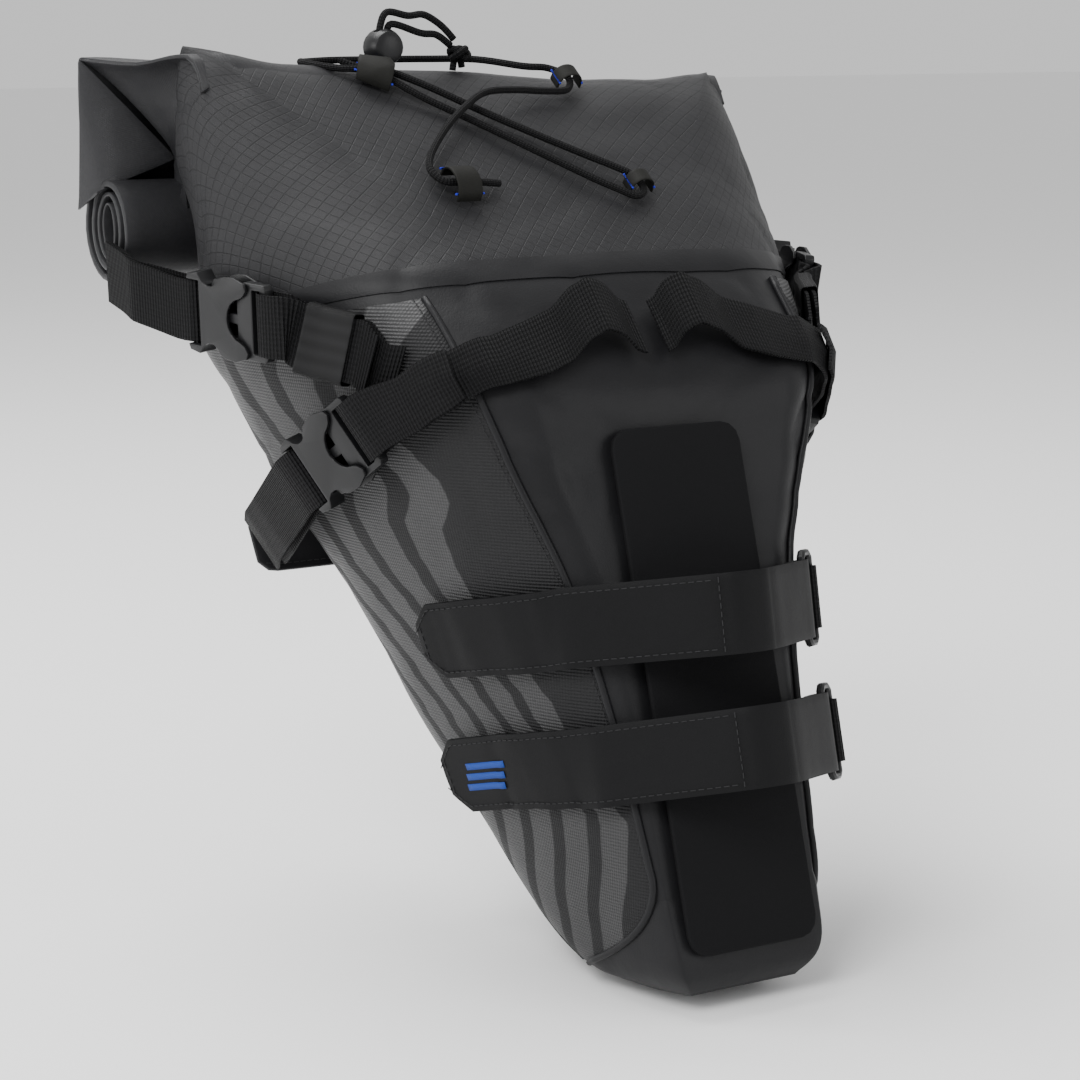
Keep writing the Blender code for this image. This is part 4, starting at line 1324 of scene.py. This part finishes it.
# Three plain slanted bars printed near the lower strap's end, from its tip in and across its width
mark = {"inset": 12, "length": 24, "bars": 3, "slant": 1.6, "first": 0.34, "pitch": 0.14, "breadth": 0.09}


def makeMark(rows, body):
    start = next(index for index, row in enumerate(rows) if (row[4] - rows[0][4]).length > mark["inset"])
    run = [(row[4] - rows[start][4]).length for row in rows[start:]]
    count = next(index for index, length in enumerate(run) if length > mark["length"])
    for index in range(mark["bars"]):
        low = mark["first"] + mark["pitch"] * index
        points, faces = [], []
        for step in range(count + 1):
            row = rows[start + step]
            ahead = (rows[start + step + 1][4] - row[4]).normalized()
            facing = (row[-1] - row[0]).cross(ahead).normalized()
            facing = facing if facing.x < 0 else -facing
            slant = ahead * (-mark["slant"] * index)
            for share in (low, low + mark["breadth"]):
                share = share if row[-1].z < row[0].z else 1 - share
                points.append(row[0].lerp(row[-1], share) + facing + slant)
            if step:
                first = 2 * step - 2
                faces.append((first, first + 1, first + 3, first + 2))
        bar = addPiece(f"printedBar_{index + 1}", points, faces, "mark")
        recalc(bar)
        thicken(bar, 0.12, 0.0, 0.0)
        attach(bar, body)


# Shock cord, its tabs and the pull loop; the lace is (x, y, lift off the bag's top)
cordLayout = {
    "radius": 1.5,
    "lace": (
        (-63, 185, 6.6), (-59, 181.5, 5.2), (-53, 178.0, 4.4), (-46.5, 174.3, 4.4), (-32, 165.5, 3.8),
        (-12, 151.5, 3.4), (8, 138, 3.6), (22, 128.5, 4.0), (31.5, 122.4, 4.2), (37.5, 117.4, 4.4),
        (38.4, 111.0, 4.4), (33.0, 107.4, 4.4), (26.0, 111.4, 4.2), (17, 118.5, 3.6), (0, 132, 3.4),
        (-18, 146, 3.4), (-37, 159.5, 3.8), (-49.5, 170.0, 4.4), (-57, 175.5, 4.6), (-65, 181, 4.0),
        (-71, 190, 3.4), (-72, 199, 3.4), (-67, 207, 3.8), (-54, 208, 4.4), (-34, 206, 4.4),
        (-12, 202, 4.2), (8, 193, 4.2), (22, 177.6, 4.6), (32.5, 174.2, 4.4), (38.0, 168.6, 4.4),
        (33.5, 162.2, 4.4), (22, 161, 5.0), (5, 160, 7.0), (-11, 157.5, 8.6), (-24, 151, 8.6),
        (-38, 142, 7.0), (-51, 131, 5.6), (-56, 123.5, 5.0), (-53, 118.0, 4.5), (-45, 117.2, 4.4),
        (-35, 117.0, 4.2), (-27, 117.0, 3.2),
    ),
    "lock": (-40.0, 187.0, 242.0),
    "knot": (-4.0, 186.0, 239.0),
    # each tab: where it is sewn, which way its width runs, width, half span and rise
    "tabs": {
        "rear_right": ((-51.5, 175.5), (0.85, -0.53), 13.0, 7.4, 9.6),
        "front_right": ((-44.5, 117.3), (1.0, 0.0), 11.0, 6.4, 8.8),
        "rear_left": ((37.6, 168.5), (0.0, 1.0), 5.6, 5.6, 8.6),
        "front_left": ((38.6, 114.2), (0.0, 1.0), 5.4, 5.4, 8.6),
    },
}
topLine = (
    (onSpine(118), 118.0), (75.0, 153.0), (120.0, 188.0), (172.0, 228.0), (196.0, 233.0), (211.0, 232.0),
    (221.0, 230.0),
)


def topPoint(x, y, lift):
    for (y0, z0), (y1, z1) in zip(topLine, topLine[1:]):
        if y <= y1:
            break
    slope = Vector((y1 - y0, z1 - z0)).normalized()
    z = z0 + (y - y0) * (z1 - z0) / (y1 - y0)
    return Vector((x, y - slope.y * lift, z + slope.x * lift))


def pullLoopPoints():
    lock, knot = Vector(cordLayout["lock"]), Vector(cordLayout["knot"])
    low, high = lock + Vector((1.75, 0, 0)), lock - Vector((1.75, 0, 0))
    steps = (
        (knot, (-4.0, 0.4, 3.6)), (knot, (-11, 0, 8.0)), (knot, (-19, -0.6, 8.8)),
        (low, (2.0, -0.3, 9.6)), (low, (0, 0, 3.5)), (low, (0, 0, -6)), (lock, (0, 0, -8.2)),
        (high, (0, 0, -6)), (high, (0, 0, 3)), (high, (0.4, 0, 9)), (high, (4, 0.5, 14.5)),
        (knot, (-24, 1.2, 16)), (knot, (-16, 1.8, 16.4)), (knot, (-8, 1.4, 12.0)), (knot, (-2.0, 1.0, 6.2)),
    )
    return [start + Vector(step) for start, step in steps]


def cordPiece(name, points, steps, node):
    path = smoothPath(points, steps)
    piece = tubePiece(name, path, cordLayout["radius"], "cord", 14)
    metres = [spot * mm for spot in path]
    length = runLengths(metres)[-1]
    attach(recalc(piece), "bag")
    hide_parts(node)
    tuple(metres[0])
    [tuple(spot) for spot in metres]
    print("stage:", name, round(length, 3))


def makeCords():
    cordPiece("shockCord", [topPoint(*spot) for spot in cordLayout["lace"]], 6, "shock_cord")
    cordPiece("pullLoop", pullLoopPoints(), 6, "pull_loop")
    knot = Vector(cordLayout["knot"])
    path = []
    for step in range(61):
        turn = math.tau * step / 60
        wide, high = 3.0 + math.cos(3 * turn), 1.9 * math.sin(3 * turn) + 0.2
        path.append(knot + Vector((wide * math.cos(2 * turn), wide * math.sin(2 * turn), high)))
    piece = tubePiece("overhandKnot", path, 1.55, "cord", 12)
    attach(recalc(piece), "bag")
    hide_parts("pull_knot")
    for index, (across, drop) in enumerate(((-1.8, 7.0), (1.7, 5.6))):
        end = ((across * 0.4, 1.0, -1.0), (across, 1.4, -3.5), (across * 1.3, 1.6, -drop))
        path = smoothPath([knot + Vector(spot) for spot in end], 5)
        tail = tubePiece(f"knotTail_{index + 1}", path, 1.45, "cord", 12)
        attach(recalc(tail), "bag")


def makeTabs():
    for label, ((x, y), (dx, dy), width, halfSpan, rise) in cordLayout["tabs"].items():
        rows = []
        for turn in range(0, 181, 12):
            angle = math.radians(turn)
            span = -halfSpan * math.cos(angle)
            lift = 1.3 + (rise - 1.3) * math.sin(angle) ** 0.7
            row = []
            for step in range(7):
                aside = width * (step / 6 - 0.5)
                row.append(topPoint(x - dy * span + dx * aside, y + dx * span + dy * aside, lift))
            rows.append(row)
        piece = bandPiece(f"cordTab_{label}", rows, 1.1, "tab", 0.0, 0.3)
        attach(piece, "bag")
        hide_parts(f"cord_tab_{label}")
        for row in (rows[1], rows[-2]):
            addStitches("bag", "bartack", [spot + Vector((0, 0, 0.9)) for spot in (row[0], row[-1])])


# Hard pieces: the frame's own solids, joined up and with their edges rounded
def refined(node, name, finish, edge, segments=3):
    source = nodes[node]
    mesh = source.data.copy()
    mesh.name = name
    mesh.materials.clear()
    mesh.materials.append(finishes[finish])
    work = bmesh.new()
    work.from_mesh(mesh)
    bmesh.ops.remove_doubles(work, verts=work.verts[:], dist=0.00002)
    bmesh.ops.dissolve_limit(work, angle_limit=math.radians(2), verts=work.verts[:], edges=work.edges[:])
    work.to_mesh(mesh)
    work.free()
    piece = bpy.data.objects.new(name, mesh)
    bpy.context.scene.collection.objects.link(piece)
    if edge:
        bevel = piece.modifiers.new("edge", "BEVEL")
        bevel.width = edge * mm
        bevel.segments = segments
        bevel.limit_method = "ANGLE"
        bevel.angle_limit = math.radians(32)
        bevel.harden_normals = False
    applied(piece)
    for face in piece.data.polygons:
        face.use_smooth = True
    piece.data.set_sharp_from_angle(angle=math.radians(38))
    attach(piece, source["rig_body"])
    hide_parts(node)
    return piece


def makeHardPieces():
    for label in sides:
        for kind in ("compression", "rail"):
            refined(f"{kind}_socket_{label}", f"{kind}Socket_{label}", "buckle", 0.75)
            refined(f"{kind}_plug_{label}", f"{kind}Plug_{label}", "buckle", 0.6)
            for end in ("upper", "lower"):
                refined(f"{kind}_plug_{label}_prong_{end}", f"{kind}Prong_{end}_{label}", "buckle", 0.5)
    for level in ("upper", "lower"):
        refined(f"{level}_ring", f"{level}Ring", "buckle", 0.0)
    refined("cord_lock_body", "cordLockBody", "buckle", 0.5)
    refined("cord_lock_button", "cordLockButton", "buckle", 0.4)
    refined("spine_pad", "spinePad", "pad", 0.9)
    for node in ("spine_stiffener", "closure_strip"):  # inside, and kept as they are
        nodes[node].data.materials.clear()
        nodes[node].data.materials.append(finishes["plate"])


# Stitches: short threads laid along the stitch lines, a spacing apart, and close together in a bartack
stitchSizes = {
    "thread": {"Spacing": 3.2, "Length": 2.1, "Radius": 0.24},
    "bartack": {"Spacing": 0.6, "Length": 2.2, "Radius": 0.45},
}


def stitchTree():
    tree = bpy.data.node_groups.new("stitchLine", "GeometryNodeTree")
    face = tree.interface
    face.new_socket("Geometry", in_out="INPUT", socket_type="NodeSocketGeometry")
    sockets = {}
    for label, value in stitchSizes["thread"].items():
        sockets[label] = face.new_socket(label, in_out="INPUT", socket_type="NodeSocketFloat")
        sockets[label].default_value = value * mm
    sockets["Thread"] = face.new_socket("Thread", in_out="INPUT", socket_type="NodeSocketMaterial")
    face.new_socket("Geometry", in_out="OUTPUT", socket_type="NodeSocketGeometry")
    make = tree.nodes.new
    start, end = make("NodeGroupInput"), make("NodeGroupOutput")
    line, points = make("GeometryNodeMeshToCurve"), make("GeometryNodeCurveToPoints")
    points.mode = "LENGTH"
    thread = make("GeometryNodeMeshCylinder")
    thread.inputs["Vertices"].default_value = 6
    thread.inputs["Side Segments"].default_value = 3
    instance, real = make("GeometryNodeInstanceOnPoints"), make("GeometryNodeRealizeInstances")
    aim, paint = make("FunctionNodeAlignRotationToVector"), make("GeometryNodeSetMaterial")
    link = tree.links.new
    link(start.outputs["Geometry"], line.inputs["Mesh"])
    link(line.outputs["Curve"], points.inputs["Curve"])
    link(start.outputs["Spacing"], points.inputs["Length"])
    link(points.outputs["Points"], instance.inputs["Points"])
    link(points.outputs["Tangent"], aim.inputs["Vector"])
    aim.axis = "Z"
    link(aim.outputs["Rotation"], instance.inputs["Rotation"])
    link(start.outputs["Radius"], thread.inputs["Radius"])
    link(start.outputs["Length"], thread.inputs["Depth"])
    link(thread.outputs["Mesh"], instance.inputs["Instance"])
    link(instance.outputs["Instances"], real.inputs["Geometry"])
    link(real.outputs["Geometry"], paint.inputs["Geometry"])
    link(start.outputs["Thread"], paint.inputs["Material"])
    link(paint.outputs["Geometry"], end.inputs["Geometry"])
    return tree, {label: socket.identifier for label, socket in sockets.items()}


def makeStitches():
    tree, inputs = stitchTree()
    for (body, tone), runs in stitchRuns.items():
        points, edges = [], []
        for run in runs:
            start = len(points)
            points += [Vector(spot) * mm for spot in run]
            edges += [(start + index, start + index + 1) for index in range(len(run) - 1)]
        name = f"stitches_{tone}_{body}"
        mesh = bpy.data.meshes.new(name)
        mesh.from_pydata(points, edges, [])
        piece = bpy.data.objects.new(name, mesh)
        bpy.context.scene.collection.objects.link(piece)
        sew = piece.modifiers.new("sew", "NODES")
        sew.node_group = tree
        for label, size in stitchSizes[tone].items():
            sew[inputs[label]] = size * mm
        sew[inputs["Thread"]] = finishes[tone]
        applied(piece)
        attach(piece, body)


# Floor and soft light: each lamp's place, size and power, all aimed at the bag
stage = {
    "floor": 0.90, "world": 0.80, "gap": 0.002, "aim": (0, 0.1, 0.06),
    "lamps": {
        "keyLight": ((-1.6, -0.9, 1.7), 1.1, 52.0),
        "topLight": ((-0.3, 0.9, 1.9), 1.4, 46.0),
        "sideLight": ((-2.0, 0.8, 0.5), 1.0, 16.0),
        "frontLight": ((1.2, -1.9, 0.7), 1.2, 12.0),
    },
}


def makeStage():
    bpy.ops.mesh.primitive_plane_add(size=30, location=(0, 0, cadBox[0][2] - stage["gap"]))
    floor = bpy.context.object
    floor.name = "floor"
    pale = bpy.data.materials.new("paleFloor")
    pale.use_nodes = True
    shader = pale.node_tree.nodes["Principled BSDF"]
    shader.inputs["Base Color"].default_value = (*[stage["floor"]] * 3, 1)
    shader.inputs["Roughness"].default_value = 0.9
    floor.data.materials.append(pale)
    world = bpy.data.worlds.new("studio")
    world.use_nodes = True
    background = world.node_tree.nodes["Background"]
    background.inputs[0].default_value = (1, 1, 1, 1)
    background.inputs[1].default_value = stage["world"]
    bpy.context.scene.world = world
    for name, (place, size, power) in stage["lamps"].items():
        lamp = bpy.data.lights.new(name, "AREA")
        lamp.size = size
        lamp.energy = power
        holder = bpy.data.objects.new(name, lamp)
        turn = (Vector(stage["aim"]) - Vector(place)).to_track_quat("-Z", "Y")
        holder.matrix_world = Matrix.Translation(place) @ turn.to_matrix().to_4x4()
        bpy.context.scene.collection.objects.link(holder)


makeShell()
makeBoot()
makePanels()
makeSeamTape()
makeGussets(makeMouth())
print("stage: cloth made")
for label, side in sides.items():
    makeCompressionStrap(label, side)
    makeRailStrap(label, side)
makeWing()
makePostStrap("upper")
makePostStrap("lower")
print("stage: straps made")
makeTabs()
makeCords()
makeHardPieces()
makeStitches()
print("stage: hard pieces and stitches made")
makeStage()
bpy.context.view_layer.update()
